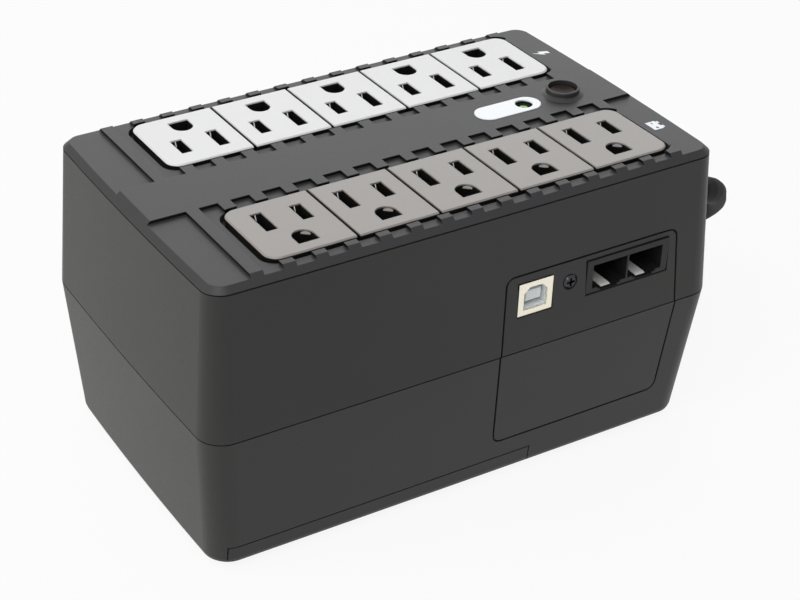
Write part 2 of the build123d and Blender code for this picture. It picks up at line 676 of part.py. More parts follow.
def collar():
    """Raised ring round the power button, flared at its foot, with the guide tube below."""
    inner = COLLAR_INNER_DIAMETER / 2
    outer = COLLAR_OUTER_DIAMETER / 2
    foot = outer + COLLAR_FLARE
    rim = RIB_TOP_Z + COLLAR_HEIGHT
    guide_bottom = COVER_BASE_Z - GUIDE_DEPTH
    guide_outer = inner + GUIDE_WALL
    points = [(inner, guide_bottom), (guide_outer, guide_bottom), (guide_outer, FIELD_Z), (foot, FIELD_Z)]
    points += [(foot, RIB_TOP_Z), (outer, RIB_TOP_Z + COLLAR_FLARE / 2), (outer, rim - COLLAR_RIM_EDGE)]
    points += [(outer - COLLAR_RIM_EDGE / 2, rim), (inner, rim)]
    profile = make_face(Polyline(*points, close=True))
    return Pos(BUTTON_X, BUTTON_Y, 0) * revolve(Plane.XZ * profile, Axis.Z)


def top_cover():
    raised = block(-REACH, REACH, -REACH, REACH, 0, FIELD_Z)
    raised += block(-REACH, REACH, -PLATEAU_WIDTH / 2, PLATEAU_WIDTH / 2, 0, RIB_TOP_Z)
    for k in range(RIB_COUNT):
        x = FIRST_RIB_X + RIB_PITCH * k
        raised += block(x, x + RIB_WIDTH, -REACH, REACH, 0, RIB_TOP_Z)
    cover = cover_envelope() & raised
    skirt_outer = top_section(WALL + FIT, COVER_BASE_Z - SKIRT_DEPTH)
    skirt_inner = top_section(WALL + FIT + SKIRT_THICKNESS, COVER_BASE_Z - SKIRT_DEPTH)
    cover += extrude(skirt_outer - skirt_inner, SKIRT_DEPTH, dir=(0, 0, 1))
    cover = cover - well(1) - well(-1)
    cover += collar()
    cover -= rod(COLLAR_INNER_DIAMETER, COVER_BASE_Z - GUIDE_DEPTH, RIB_TOP_Z + 1, BUTTON_X, BUTTON_Y)
    pocket_floor = RIB_TOP_Z + LABEL_PROUD - LABEL_THICKNESS
    pocket = Pos(LABEL_X, LABEL_Y, pocket_floor) * SlotOverall(LABEL_LENGTH, LABEL_WIDTH)
    cover -= extrude(pocket, 2, dir=(0, 0, 1))
    cover -= rod(LED_HOLE_DIAMETER, COVER_BASE_Z - 1, RIB_TOP_Z + 1, LED_X, LED_Y)
    for x in switch_board_posts():
        cover += rod(POST_DIAMETER, COVER_BASE_Z - SWITCH_BOARD_DROP, COVER_BASE_Z + 0.5, x, BUTTON_Y)
    return cover


def led_label_plate():
    floor = RIB_TOP_Z + LABEL_PROUD - LABEL_THICKNESS
    pill = Pos(LABEL_X, LABEL_Y, floor) * SlotOverall(LABEL_LENGTH - FIT, LABEL_WIDTH - FIT)
    plate = extrude(pill, LABEL_THICKNESS, dir=(0, 0, 1))
    return plate - rod(LED_HOLE_DIAMETER, floor - 1, floor + 1, LED_X, LED_Y)


# ---------------------------------------------------------------- outlet strips
def outlet_centres():
    middle = (OUTLET_COUNT - 1) / 2
    return [OUTLET_ROW_X + OUTLET_PITCH * (k - middle) for k in range(OUTLET_COUNT)]


def ground_hole():
    """D-shaped hole; its dome points to -Y and its flat lies on +Y, measured from the blade line."""
    radius = GROUND_HOLE_WIDTH / 2
    dome = Pos(0, GROUND_HOLE_START + radius) * Circle(radius)
    straight = GROUND_HOLE_LENGTH - radius
    return dome + Pos(0, GROUND_HOLE_START + radius + straight / 2) * Rectangle(GROUND_HOLE_WIDTH, straight)


def outlet_holes():
    """The three holes of one outlet: neutral on +X, ground on +Y."""
    hot = Pos(-BLADE_SPACING / 2, 0) * Rectangle(SLOT_WIDTH, HOT_SLOT_LENGTH)
    neutral = Pos(BLADE_SPACING / 2, 0) * Rectangle(SLOT_WIDTH, NEUTRAL_SLOT_LENGTH)
    return hot + neutral + ground_hole()


def outlet_strip(side):
    """Five outlets moulded as one strip; side is 1 for the back row, -1 for the front."""
    width = STRIP_INNER + STRIP_OUTER
    middle_y = BLADE_LINE_Y + (STRIP_OUTER - STRIP_INNER) / 2
    body_face = fillet(Rectangle(STRIP_LENGTH, width).vertices(), STRIP_CORNER_RADIUS)
    body = extrude(Pos(OUTLET_ROW_X, middle_y, STRIP_BOTTOM_Z) * body_face, STRIP_DEPTH, dir=(0, 0, 1))
    body = chamfer(body.edges().group_by(Axis.Z)[-1], STRIP_EDGE)
    flange_left = OUTLET_ROW_X - STRIP_LENGTH / 2 - FLANGE_REACH_X
    flange_right = OUTLET_ROW_X + STRIP_LENGTH / 2 + FLANGE_REACH_X
    flange_near = BLADE_LINE_Y - STRIP_INNER - FLANGE_REACH_IN
    flange_far = BLADE_LINE_Y + STRIP_OUTER + FLANGE_REACH_OUT
    body += block(flange_left, flange_right, flange_near, flange_far,
                  COVER_BASE_Z - STRIP_FLANGE, COVER_BASE_Z)
    for x in outlet_centres():
        holes = Pos(x, BLADE_LINE_Y, STRIP_BOTTOM_Z - 1) * outlet_holes()
        body -= extrude(holes, STRIP_DEPTH + 2, dir=(0, 0, 1))
    for k in range(OUTLET_COUNT - 1):
        x = outlet_centres()[k] + OUTLET_PITCH / 2
        half = OUTLET_GROOVE_WIDTH / 2
        groove_floor = STRIP_TOP_Z - OUTLET_GROOVE_DEPTH
        body -= block(x - half, x + half, 0, middle_y + width, groove_floor, STRIP_TOP_Z + 1)
    return on_row(body, side)


def on_row(piece, side):
    """Back row as modelled; the front row is the same piece turned half round."""
    if side > 0:
        return piece
    return Pos(2 * OUTLET_ROW_X, 0, 0) * Rot(0, 0, 180) * piece


def contact_bus(side, offset_x, bar_y, leaf_near, leaf_length, grip):
    """Brass bar under one strip with a pair of upright leaves in every outlet."""
    centres = outlet_centres()
    bar_z0 = STRIP_BOTTOM_Z - BUS_THICKNESS
    half = BUS_WIDTH / 2
    bar = block(centres[0] + offset_x - BUS_END, centres[-1] + offset_x + BUS_END, bar_y - half,
                bar_y + half, bar_z0, STRIP_BOTTOM_Z)
    leaf_top = STRIP_BOTTOM_Z + LEAF_HEIGHT
    for x in centres:
        for direction in (-1, 1):
            near = x + offset_x + direction * grip / 2
            far = near + direction * LEAF_THICKNESS
            bar += block(min(near, far), max(near, far), leaf_near, leaf_near + leaf_length,
                         bar_z0, leaf_top)
    return on_row(bar, side)


def hot_bus(side):
    slot_end = BLADE_LINE_Y + HOT_SLOT_LENGTH / 2
    leaf_near = slot_end - LEAF_MARGIN - BLADE_LEAF_LENGTH
    return contact_bus(side, -BLADE_SPACING / 2, slot_end - BUS_WIDTH / 2, leaf_near,
                       BLADE_LEAF_LENGTH, BLADE_GRIP)


def neutral_bus(side):
    slot_end = BLADE_LINE_Y - NEUTRAL_SLOT_LENGTH / 2
    leaf_near = slot_end + LEAF_MARGIN
    return contact_bus(side, BLADE_SPACING / 2, slot_end + BUS_WIDTH / 2, leaf_near,
                       BLADE_LEAF_LENGTH, BLADE_GRIP)


def ground_bus(side):
    flat_y = BLADE_LINE_Y + GROUND_HOLE_START + GROUND_HOLE_LENGTH
    leaf_near = flat_y - LEAF_MARGIN - PIN_LEAF_LENGTH
    return contact_bus(side, 0.0, flat_y - BUS_WIDTH / 2, leaf_near, PIN_LEAF_LENGTH, PIN_GRIP)


# ---------------------------------------------------------------- button, switch and light
def button_top():
    return RIB_TOP_Z + COLLAR_HEIGHT - BUTTON_RECESS


def flange_top():
    """Top of the button's flange, which stops under the guide tube."""
    return COVER_BASE_Z - GUIDE_DEPTH - SLIDE_FIT / 2


def power_button():
    """Dished cap on a flange that stops under the guide tube."""
    radius = COLLAR_INNER_DIAMETER / 2 - SLIDE_FIT
    top = button_top()
    bottom = flange_top() - BUTTON_FLANGE
    cap = rod(2 * radius, bottom, top)
    dish_radius = (radius - BUTTON_RIM) ** 2 / (2 * BUTTON_DISH) + BUTTON_DISH / 2
    cap -= Pos(0, 0, top + dish_radius - BUTTON_DISH) * Sphere(dish_radius)
    cap += rod(2 * (radius + BUTTON_FLANGE_REACH), bottom, flange_top())
    return Pos(BUTTON_X, BUTTON_Y, 0) * cap


def switch_board_top():
    return COVER_BASE_Z - SWITCH_BOARD_DROP


def switch_plunger():
    bottom = switch_board_top() + SWITCH_HEIGHT - PLUNGER_IN_SWITCH
    return rod(PLUNGER_DIAMETER, bottom, flange_top() - BUTTON_FLANGE, BUTTON_X, BUTTON_Y)


def power_switch():
    half = SWITCH_SIZE / 2
    bottom = switch_board_top()
    top = bottom + SWITCH_HEIGHT
    body = block(BUTTON_X - half, BUTTON_X + half, BUTTON_Y - half, BUTTON_Y + half, bottom, top)
    socket_floor = top - PLUNGER_IN_SWITCH - BUTTON_TRAVEL - PLUNGER_FLOOR_GAP
    return body - rod(PLUNGER_DIAMETER + 2 * SLIDE_FIT, socket_floor, top + 1, BUTTON_X, BUTTON_Y)


def switch_board_posts():
    half = SWITCH_BOARD_LENGTH / 2 - POST_DIAMETER / 2
    return (SWITCH_BOARD_X - half, SWITCH_BOARD_X + half)


def switch_board():
    half_length = SWITCH_BOARD_LENGTH / 2
    half_width = SWITCH_BOARD_WIDTH / 2
    top = switch_board_top()
    return block(SWITCH_BOARD_X - half_length, SWITCH_BOARD_X + half_length, BUTTON_Y - half_width,
                 BUTTON_Y + half_width, top - BOARD_THICKNESS, top)


def status_led():
    """Domed lens on two legs that stand on the switch board."""
    lens_top = RIB_TOP_Z + LABEL_PROUD - LED_SINK
    lens_bottom = lens_top - LED_HEIGHT
    radius = LED_DIAMETER / 2
    points = [(0, lens_bottom), (radius, lens_bottom)]
    for degrees in (0, 30, 60, 90):
        angle = math.radians(degrees)
        points.append((radius * math.cos(angle), lens_top - radius + radius * math.sin(angle)))
    profile = make_face(Polyline(*points, close=True))
    body = revolve(Plane.XZ * profile, Axis.Z)
    half = LED_LEG_WIDTH / 2
    for x in (-LED_LEG_SPACING / 2, LED_LEG_SPACING / 2):
        body += block(x - half, x + half, -half, half, switch_board_top(), lens_bottom + 0.5)
    return Pos(LED_X, LED_Y, 0) * body


# ---------------------------------------------------------------- connectors on the port side
def usb_shell():
    """Square metal shell of the USB type B socket, open to the front, with chamfered mouth inside."""
    front = front_y(USB_Z)
    body = block(USB_X - USB_WIDTH / 2, USB_X + USB_WIDTH / 2, front, front + USB_DEPTH,
                 USB_Z - USB_HEIGHT / 2, USB_Z + USB_HEIGHT / 2)
    mouth = Plane.XZ * (Pos(USB_X, USB_Z) * usb_mouth(0))
    return body - Pos(0, front, 0) * extrude(mouth, -(USB_DEPTH - USB_BACK))


def usb_mouth(inset):
    """House shape of the type B opening, drawn in by inset: its two upper corners are cut off."""
    half_w = USB_MOUTH_WIDTH / 2 - inset
    half_h = USB_MOUTH_HEIGHT / 2 - inset
    cut = USB_MOUTH_CUT - inset * (2 - math.sqrt(2))
    points = [(-half_w, -half_h), (half_w, -half_h), (half_w, half_h - cut), (half_w - cut, half_h)]
    points += [(-half_w + cut, half_h), (-half_w, half_h - cut)]
    return make_face(Polyline(*points, close=True))


def usb_tongue():
    """Plastic insert of the socket: a lining, its back and the tongue that carries the contacts."""
    front = front_y(USB_Z)
    back = front + USB_DEPTH - USB_BACK
    outer = Plane.XZ * (Pos(USB_X, USB_Z) * usb_mouth(USB_LINING_FIT))
    inner = Plane.XZ * (Pos(USB_X, USB_Z) * usb_mouth(USB_LINING_FIT + USB_LINING))
    insert = Pos(0, front + USB_LINING_SETBACK, 0) * extrude(outer, -(back - front - USB_LINING_SETBACK))
    insert -= Pos(0, front, 0) * extrude(inner, -(back - front - 2 * USB_LINING))
    half = USB_TONGUE_WIDTH / 2
    z0 = USB_Z + USB_TONGUE_RISE - USB_TONGUE_HEIGHT / 2
    insert += block(USB_X - half, USB_X + half, front + USB_TONGUE_SETBACK, back, z0, z0 + USB_TONGUE_HEIGHT)
    return insert


def jack_openings():
    return (JACK_X - JACK_OPENING_SPACING / 2, JACK_X + JACK_OPENING_SPACING / 2)


def jack_floor():
    """Level of the floor of the two openings."""
    return JACK_Z + JACK_OPENING_RISE - JACK_OPENING_HEIGHT / 2


def jack_housing():
    """Twin modular jack: two openings, each with a stepped latch notch at the bottom."""
    front = front_y(JACK_Z)
    back = front + JACK_OPENING_DEPTH
    bottom = jack_floor()
    body = block(JACK_X - JACK_WIDTH / 2, JACK_X + JACK_WIDTH / 2, front, front + JACK_DEPTH,
                 JACK_Z - JACK_HEIGHT / 2, JACK_Z + JACK_HEIGHT / 2)
    steps = [(JACK_OPENING_WIDTH, 0.0), (LATCH_STEP_WIDTH, LATCH_STEP_DROP)]
    steps += [(LATCH_NOTCH_WIDTH, LATCH_NOTCH_DROP)]
    for x in jack_openings():
        for width, drop in steps:
            half = width / 2
            body -= block(x - half, x + half, front - 1, back, bottom - drop, bottom + JACK_OPENING_HEIGHT)
    return body


def jack_spring(k):
    """Bright metal strip on the floor of a latch notch, from its back toward the front."""
    front = front_y(JACK_Z)
    half = JACK_SPRING_WIDTH / 2
    x = jack_openings()[k]
    floor = jack_floor() - LATCH_NOTCH_DROP
    return block(x - half, x + half, front + JACK_SPRING_SETBACK, front + JACK_OPENING_DEPTH,
                 floor, floor + JACK_SPRING_THICKNESS)


# ---------------------------------------------------------------- inside: boards, transformer, battery
def board_left():
    return DOOR_RIGHT + BOARD_START_GAP


def main_board():
    top = MAIN_BOARD_TOP
    bottom = top - BOARD_THICKNESS
    right = NARROWEST_LENGTH / 2 - WALL - BOARD_END_GAP
    half_width = NARROWEST_WIDTH / 2 - WALL - BOARD_SIDE_GAP
    board = block(board_left(), right, -half_width, half_width, bottom, top)
    tongue_front = front_y(USB_Z) + WALL + BOARD_EDGE_GAP
    tongue_back = battery_space()[2] - BOARD_EDGE_GAP
    board += block(USB_X - USB_WIDTH / 2, board_left() + 1, tongue_front, tongue_back, bottom, top)
    board += block(board_left(), right - BOARD_TONGUE_INSET, tongue_front, 0, bottom, top)
    boss_x, _, boss_y = boss_places()
    for y in (-boss_y, boss_y):
        board -= rod(SCREW_SHANK_DIAMETER, bottom, top, boss_x, y)
    return board


def heat_sink():
    """Finned extrusion that stands on the board."""
    z0 = MAIN_BOARD_TOP
    z1 = z0 + SINK_HEIGHT
    left = board_left() + SINK_GAP
    right = left + SINK_BASE
    length = SINK_FIN_PITCH * (SINK_FINS - 1) + 2 * SINK_FIN_THICKNESS
    sink = block(left, right, SINK_Y, SINK_Y + length, z0, z1)
    for k in range(SINK_FINS):
        y = SINK_Y + SINK_FIN_THICKNESS / 2 + SINK_FIN_PITCH * k
        sink += block(right, right + SINK_FIN_REACH, y, y + SINK_FIN_THICKNESS, z0, z1)
    return sink


def capacitor(place):
    x, y, diameter, height = place
    return rod(diameter, MAIN_BOARD_TOP, MAIN_BOARD_TOP + height, x, y)


def relay(k):
    y = RELAY_Y + RELAY_PITCH * k
    top = MAIN_BOARD_TOP + RELAY_HEIGHT
    return block(RELAY_X, RELAY_X + RELAY_LENGTH, y, y + RELAY_WIDTH, MAIN_BOARD_TOP, top)


def transformer_core():
    """Laminated E-I stack with two windows along X."""
    z0 = INNER_FLOOR_Z + BRACKET_THICKNESS
    z1 = z0 + CORE_HEIGHT
    x0 = CORE_X - CORE_STACK / 2
    x1 = CORE_X + CORE_STACK / 2
    core = block(x0, x1, -CORE_WIDTH / 2, CORE_WIDTH / 2, z0, z1)
    for side in (-1, 1):
        near = side * CORE_LEG / 2
        far = side * (CORE_WIDTH / 2 - CORE_YOKE)
        core -= block(x0 - 1, x1 + 1, min(near, far), max(near, far), z0 + CORE_YOKE, z1 - CORE_YOKE)
    return core


def transformer_winding():
    """Taped winding on its bobbin round the centre leg."""
    z0 = INNER_FLOOR_Z + BRACKET_THICKNESS + CORE_YOKE
    z1 = z0 + CORE_HEIGHT - 2 * CORE_YOKE
    half_x = CORE_STACK / 2 + COIL_OVERHANG
    half_y = CORE_WIDTH / 2 - CORE_YOKE
    winding = block(CORE_X - half_x, CORE_X + half_x, -half_y, half_y, z0, z1)
    winding = fillet(winding.edges().filter_by(Axis.Z), WINDING_CORNER)
    return winding - block(CORE_X - CORE_STACK / 2, CORE_X + CORE_STACK / 2,
                           -CORE_LEG / 2, CORE_LEG / 2, z0, z1)


def transformer_bracket():
    """Steel strap under and beside the core, with a foot at each end."""
    z0 = INNER_FLOOR_Z
    half_y = CORE_WIDTH / 2
    half_x = CORE_STACK / 2 - BRACKET_INSET
    z1 = z0 + BRACKET_THICKNESS
    reach = half_y + BRACKET_FOOT
    bracket = block(CORE_X - half_x, CORE_X + half_x, -reach, reach, z0, z1)
    for side in (-1, 1):
        inner = side * half_y
        outer = side * (half_y + BRACKET_THICKNESS)
        bracket += block(CORE_X - half_x, CORE_X + half_x, min(inner, outer), max(inner, outer),
                         z0, z0 + BRACKET_RISE)
        hole_y = side * (reach - BRACKET_FOOT / 2 + BRACKET_THICKNESS / 2)
        bracket -= rod(BRACKET_HOLE, z0, z1, CORE_X, hole_y)
    return bracket


def battery_space():
    """Left, right, front and back of the battery: between the left wall, the door's edge, ports and rear."""
    left = BATTERY_END_SPACE + WALL - NARROWEST_LENGTH / 2
    right = DOOR_RIGHT - TERMINAL_SPACE
    front = front_y(USB_Z) + USB_DEPTH + BATTERY_PORT_GAP
    back = NARROWEST_WIDTH / 2 - WALL - BATTERY_REAR_SPACE
    return left, right, front, back


def battery_bottom():
    return INNER_FLOOR_Z + HOOK_THICKNESS + BATTERY_CLEARANCE


def battery():
    """Sealed block that lies on its side, with its terminal end toward +X."""
    left, right, front, back = battery_space()
    z0 = battery_bottom()
    return block(left, right, front, back, z0, z0 + BATTERY_HEIGHT)


def battery_terminal(side):
    """Flat tab on the battery's end."""
    _, right, front, back = battery_space()
    y = (front + back) / 2 + side * ((back - front) / 2 - TERMINAL_INSET_Y)
    half = TERMINAL_WIDTH / 2
    z = battery_bottom() + BATTERY_HEIGHT - TERMINAL_DROP
    return block(right, right + TERMINAL_LENGTH, y - half, y + half, z, z + TERMINAL_THICKNESS)


def housing_screw(side):
    """Long screw from below that clamps lower shell, board and upper shell."""
    seat = FLOOR_Z + HOUSING_SCREW_SEAT
    head_bottom = seat - HOUSING_SCREW_HEAD_HEIGHT
    screw = rod(HOUSING_SCREW_HEAD, head_bottom, seat)
    screw += rod(SCREW_SHANK_DIAMETER, seat, MAIN_BOARD_TOP + HOUSING_SCREW_GRIP)
    screw -= cross_recess(head_bottom)
    boss_x, _, boss_y = boss_places()
    return Pos(boss_x, side * boss_y, 0) * screw


def foot(side_x, side_y):
    """Round rubber pad on the underside."""
    x = side_x * (BASE_LENGTH / 2 - FOOT_INSET_X)
    y = side_y * (BASE_WIDTH / 2 - FOOT_INSET_Y)
    pad = rod(FOOT_DIAMETER, 0, FOOT_HEIGHT, x, y)
    return chamfer(pad.edges().group_by(Axis.Z)[0], FOOT_EDGE)


# ---------------------------------------------------------------- breaker on the right end
def end_pad(diameter, y, z):
    """Flat-faced round pad through the drafted wall of the right end."""
    wall = right_end_x(z)
    return rod_x(diameter, y, z, wall - WALL - PAD_INSIDE, wall + PAD_OUTSIDE)


def breaker_body():
    """Thermal breaker: a body that stands on the board, with a neck in the wall, hollow for its button."""
    wall = right_end_x(BREAKER_Z)
    inside = wall - WALL - PAD_INSIDE
    body = block(inside - BREAKER_DEPTH, inside, BREAKER_Y - BREAKER_WIDTH / 2, BREAKER_Y + BREAKER_WIDTH / 2,
                 MAIN_BOARD_TOP, BREAKER_Z + BREAKER_WIDTH / 2)
    body += rod_x(BREAKER_NECK_DIAMETER - 2 * FIT, BREAKER_Y, BREAKER_Z, inside, wall + PAD_OUTSIDE)
    socket_floor = wall - BREAKER_BUTTON_LENGTH - SLIDE_FIT
    body -= rod_x(BREAKER_BUTTON_DIAMETER + 2 * SLIDE_FIT, BREAKER_Y, BREAKER_Z, socket_floor, wall + 4)
    return body


def breaker_button():
    wall = right_end_x(BREAKER_Z)
    tip = wall + BREAKER_BUTTON_PROUD
    button = rod_x(BREAKER_BUTTON_DIAMETER, BREAKER_Y, BREAKER_Z, wall - BREAKER_BUTTON_LENGTH, tip)
    return chamfer(button.edges().group_by(Axis.X)[-1], 0.5)


# ---------------------------------------------------------------- cord
def boot_frame(degrees):
    """Place on the strain relief's bent centre line, with local Z along the cord."""
    angle = math.radians(degrees)
    start = right_end_x(CORD_EXIT_Z) + BOOT_COLLAR_THICKNESS
    along = BOOT_BEND_RADIUS * math.sin(angle)
    drop = BOOT_BEND_RADIUS * (1 - math.cos(angle))
    roll = math.radians(BOOT_ROLL_DEGREES)
    origin = Vector(start + along, CORD_EXIT_Y + drop * math.sin(roll), CORD_EXIT_Z - drop * math.cos(roll))
    direction = Vector(math.cos(angle), math.sin(angle) * math.sin(roll), -math.sin(angle) * math.cos(roll))
    sideways = Vector(0, math.cos(roll), math.sin(roll))
    return Plane(origin=origin, x_dir=sideways, z_dir=direction)


def strain_relief():
    """Flexible boot that tapers along its bend, clamped on both faces of the wall."""
    wall = right_end_x(CORD_EXIT_Z)
    sections = []
    for k in range(BOOT_BANDS + 1):
        share = k / BOOT_BANDS
        diameter = BOOT_ROOT_DIAMETER + (BOOT_TIP_DIAMETER - BOOT_ROOT_DIAMETER) * share
        sections.append(boot_frame(BOOT_BEND_DEGREES * share) * Circle(diameter / 2))
    boot = loft(sections, ruled=True)
    outside = wall + PAD_OUTSIDE
    inside = wall - WALL - PAD_INSIDE
    boot += rod_x(BOOT_COLLAR_DIAMETER, CORD_EXIT_Y, CORD_EXIT_Z, outside, wall + BOOT_COLLAR_THICKNESS)
    boot += rod_x(BOOT_ROOT_DIAMETER - 2 * FIT, CORD_EXIT_Y, CORD_EXIT_Z, inside, outside)
    boot += rod_x(BOOT_COLLAR_DIAMETER, CORD_EXIT_Y, CORD_EXIT_Z, inside - BOOT_COLLAR_THICKNESS, inside)
    return boot


def boot_tip():
    return boot_frame(BOOT_BEND_DEGREES)


def cord_section(path):
    """The cord's faceted section at the start of a path."""
    start = Plane(origin=path @ 0, z_dir=path % 0)
    return start * RegularPolygon(CORD_DIAMETER / 2, CORD_SIDES)


def tube(points, name):
    """Cord along straight runs joined by arcs as large as the runs allow."""
    places = [Vector(*p) for p in points]
    radii = []
    for before, corner, after in zip(places, places[1:], places[2:]):
        turn = math.radians((corner - before).get_angle(after - corner))
        run = min((corner - before).length, (after - corner).length)
        radii.append(0.45 * run / math.tan(turn / 2))
    path = FilletPolyline(*places, radius=radii)
    section = cord_section(path)
    cord = sweep(section, path=path)
    full = section.area * path.length
    print(name, "length", round(path.length, 1), "volume ratio", round(cord.volume / full, 4),
          "radii", [round(r) for r in radii])
    return cord


def line_cord():
    """From the strain relief down to the floor, round the right end and behind the housing."""
    tip = boot_tip()
    first = tip.origin + tip.z_dir * FIRST_RUN
    coil_x, coil_y, coil_z = coil_start()
    points = [(tip.origin.X, tip.origin.Y, tip.origin.Z), (first.X, first.Y, first.Z)]
    points += LEAD_POINTS
    points += [(coil_x + LAST_RUN, coil_y, coil_z), (coil_x, coil_y, coil_z)]
    return tube(points, "line_cord")


def coil_radii():
    """Radii of the half turns: in on the lower layer, a climb, out again on the upper layer."""
    inward = [COIL_FIRST_RADIUS - COIL_PITCH / 2 * k for k in range(COIL_HALF_TURNS)]
    climb = inward[-1] - COIL_PITCH / 2
    return inward + [climb] + inward[::-1]


def coil_start():
    return (COIL_X + CORD_DIAMETER, COIL_Y - COIL_FIRST_RADIUS, FLOOR_LINE)


def coil_edges():
    """Straight end, half turns of alternating side, straight end; the middle half turn climbs a layer."""
    x, y, z = coil_start()
    edges = [Line((x, y, z), (COIL_X, y, z))]
    side = -1
    for k, radius in enumerate(coil_radii()):
        y_next = y + 2 * radius if k % 2 == 0 else y - 2 * radius
        middle_y = (y + y_next) / 2
        z_next = z + COIL_LAYER_STEP if k == COIL_HALF_TURNS else z
        bulge = (COIL_X + side * radius, middle_y, (z + z_next) / 2)
        start = Vector(COIL_X, y, z)
        end = Vector(COIL_X, y_next, z_next)
        if z_next == z:
            edges.append(ThreePointArc(start, bulge, end))
        else:
            half = (end - start).length / 2
            joint = (start + end) * 0.5 + Vector(side * half, 0, 0)
            first = TangentArc(start, joint, tangent=(side, 0, 0))
            edges.append(first)
            edges.append(TangentArc(joint, end, tangent=first % 1))
        y = y_next
        z = z_next
        side = -side
    edges.append(Line((COIL_X, y, z), (COIL_X + CORD_DIAMETER, y, z)))
    return edges


def least_gap(path, step=2.0):
    """Least free distance between stretches of a tube that aren't neighbours along its path."""
    count = int(path.length / step)
    spots = [path @ (k / count) for k in range(count + 1)]
    skip = int(4 * CORD_DIAMETER / step)
    least = path.length
    for i, spot in enumerate(spots):
        for other in spots[i + skip:]:
            least = min(least, (spot - other).length)
    return least - CORD_DIAMETER


def cord_coil():
    path = Wire(coil_edges())
    section = cord_section(path)
    coil = sweep(section, path=path)
    full = section.area * path.length
    print("cord_coil length", round(path.length, 1), "volume ratio", round(coil.volume / full, 4),
          "least gap to itself", round(least_gap(path), 2))
    return coil


def coil_end():
    radii = coil_radii()
    y = coil_start()[1]
    for k, radius in enumerate(radii):
        y = y + 2 * radius if k % 2 == 0 else y - 2 * radius
    return (COIL_X + CORD_DIAMETER, y, FLOOR_LINE + COIL_LAYER_STEP)


def plug_lead():
    """From the coil's upper layer down to the floor and into the back of the plug."""
    plug = plug_place()
    back = plug.origin - plug.z_dir * PLUG_LENGTH
    before = back - plug.z_dir * LAST_RUN
    x, y, z = coil_end()
    points = [(x, y, z), (x + LAST_RUN, y, z)] + PLUG_LEAD_POINTS
    points += [(before.X, before.Y, before.Z), (back.X, back.Y, back.Z)]
    return tube(points, "plug_lead")


def plug_place():
    """Face of the plug: local Z points out along the blades, local Y up."""
    turn = math.radians(PLUG_HEADING_DEGREES)
    direction = Vector(math.cos(turn), math.sin(turn), 0)
    origin = Vector(PLUG_X, PLUG_Y, PLUG_HEIGHT / 2 + 0.1)
    return Plane(origin=origin, x_dir=direction.cross(Vector(0, 0, 1)), z_dir=direction)


def plug_outline(width, height, corner):
    """Rectangle whose corners are rounded in facets."""
    points = []
    for turn, x_side, y_side in ((0, 1, 1), (90, -1, 1), (180, -1, -1), (270, 1, -1)):
        x = x_side * (width / 2 - corner)
        y = y_side * (height / 2 - corner)
        for k in range(PLUG_CORNER_FACETS + 1):
            angle = math.radians(turn + 90 * k / PLUG_CORNER_FACETS)
            points.append((x + corner * math.cos(angle), y + corner * math.sin(angle)))
    return make_face(Polyline(*points, close=True))


def plug_body():
    """Moulded plug: a broad face that narrows to a round neck at the cord."""
    face = plug_outline(PLUG_WIDTH, PLUG_HEIGHT, PLUG_CORNER)
    grip = plug_outline(PLUG_WIDTH - PLUG_GRIP_NARROWING, PLUG_HEIGHT - PLUG_GRIP_NARROWING, PLUG_GRIP_CORNER)
    neck = plug_outline(PLUG_NECK, PLUG_NECK, 0.9 * PLUG_NECK / 2)
    sections = [face, Pos(0, 0, -PLUG_FACE_DEPTH) * face]
    sections += [Pos(0, 0, -PLUG_GRIP_DEPTH) * grip, Pos(0, 0, -PLUG_LENGTH) * neck]
    return plug_place() * loft(sections, ruled=True)


def plug_blade(side):
    blade = Box(BLADE_THICKNESS, BLADE_WIDTH, BLADE_LENGTH)
    blade = chamfer(blade.edges().group_by(Axis.Z)[-1], BLADE_TIP_EDGE)
    return plug_place() * (Pos(side * BLADE_SPACING / 2, BLADE_LINE_RISE, BLADE_LENGTH / 2) * blade)


def plug_ground_pin():
    pin = Cylinder(GROUND_PIN_DIAMETER / 2, GROUND_PIN_LENGTH)
    pin = chamfer(pin.edges().group_by(Axis.Z)[-1], GROUND_PIN_TIP_EDGE)
    return plug_place() * (Pos(0, BLADE_LINE_RISE - GROUND_PIN_OFFSET, GROUND_PIN_LENGTH / 2) * pin)


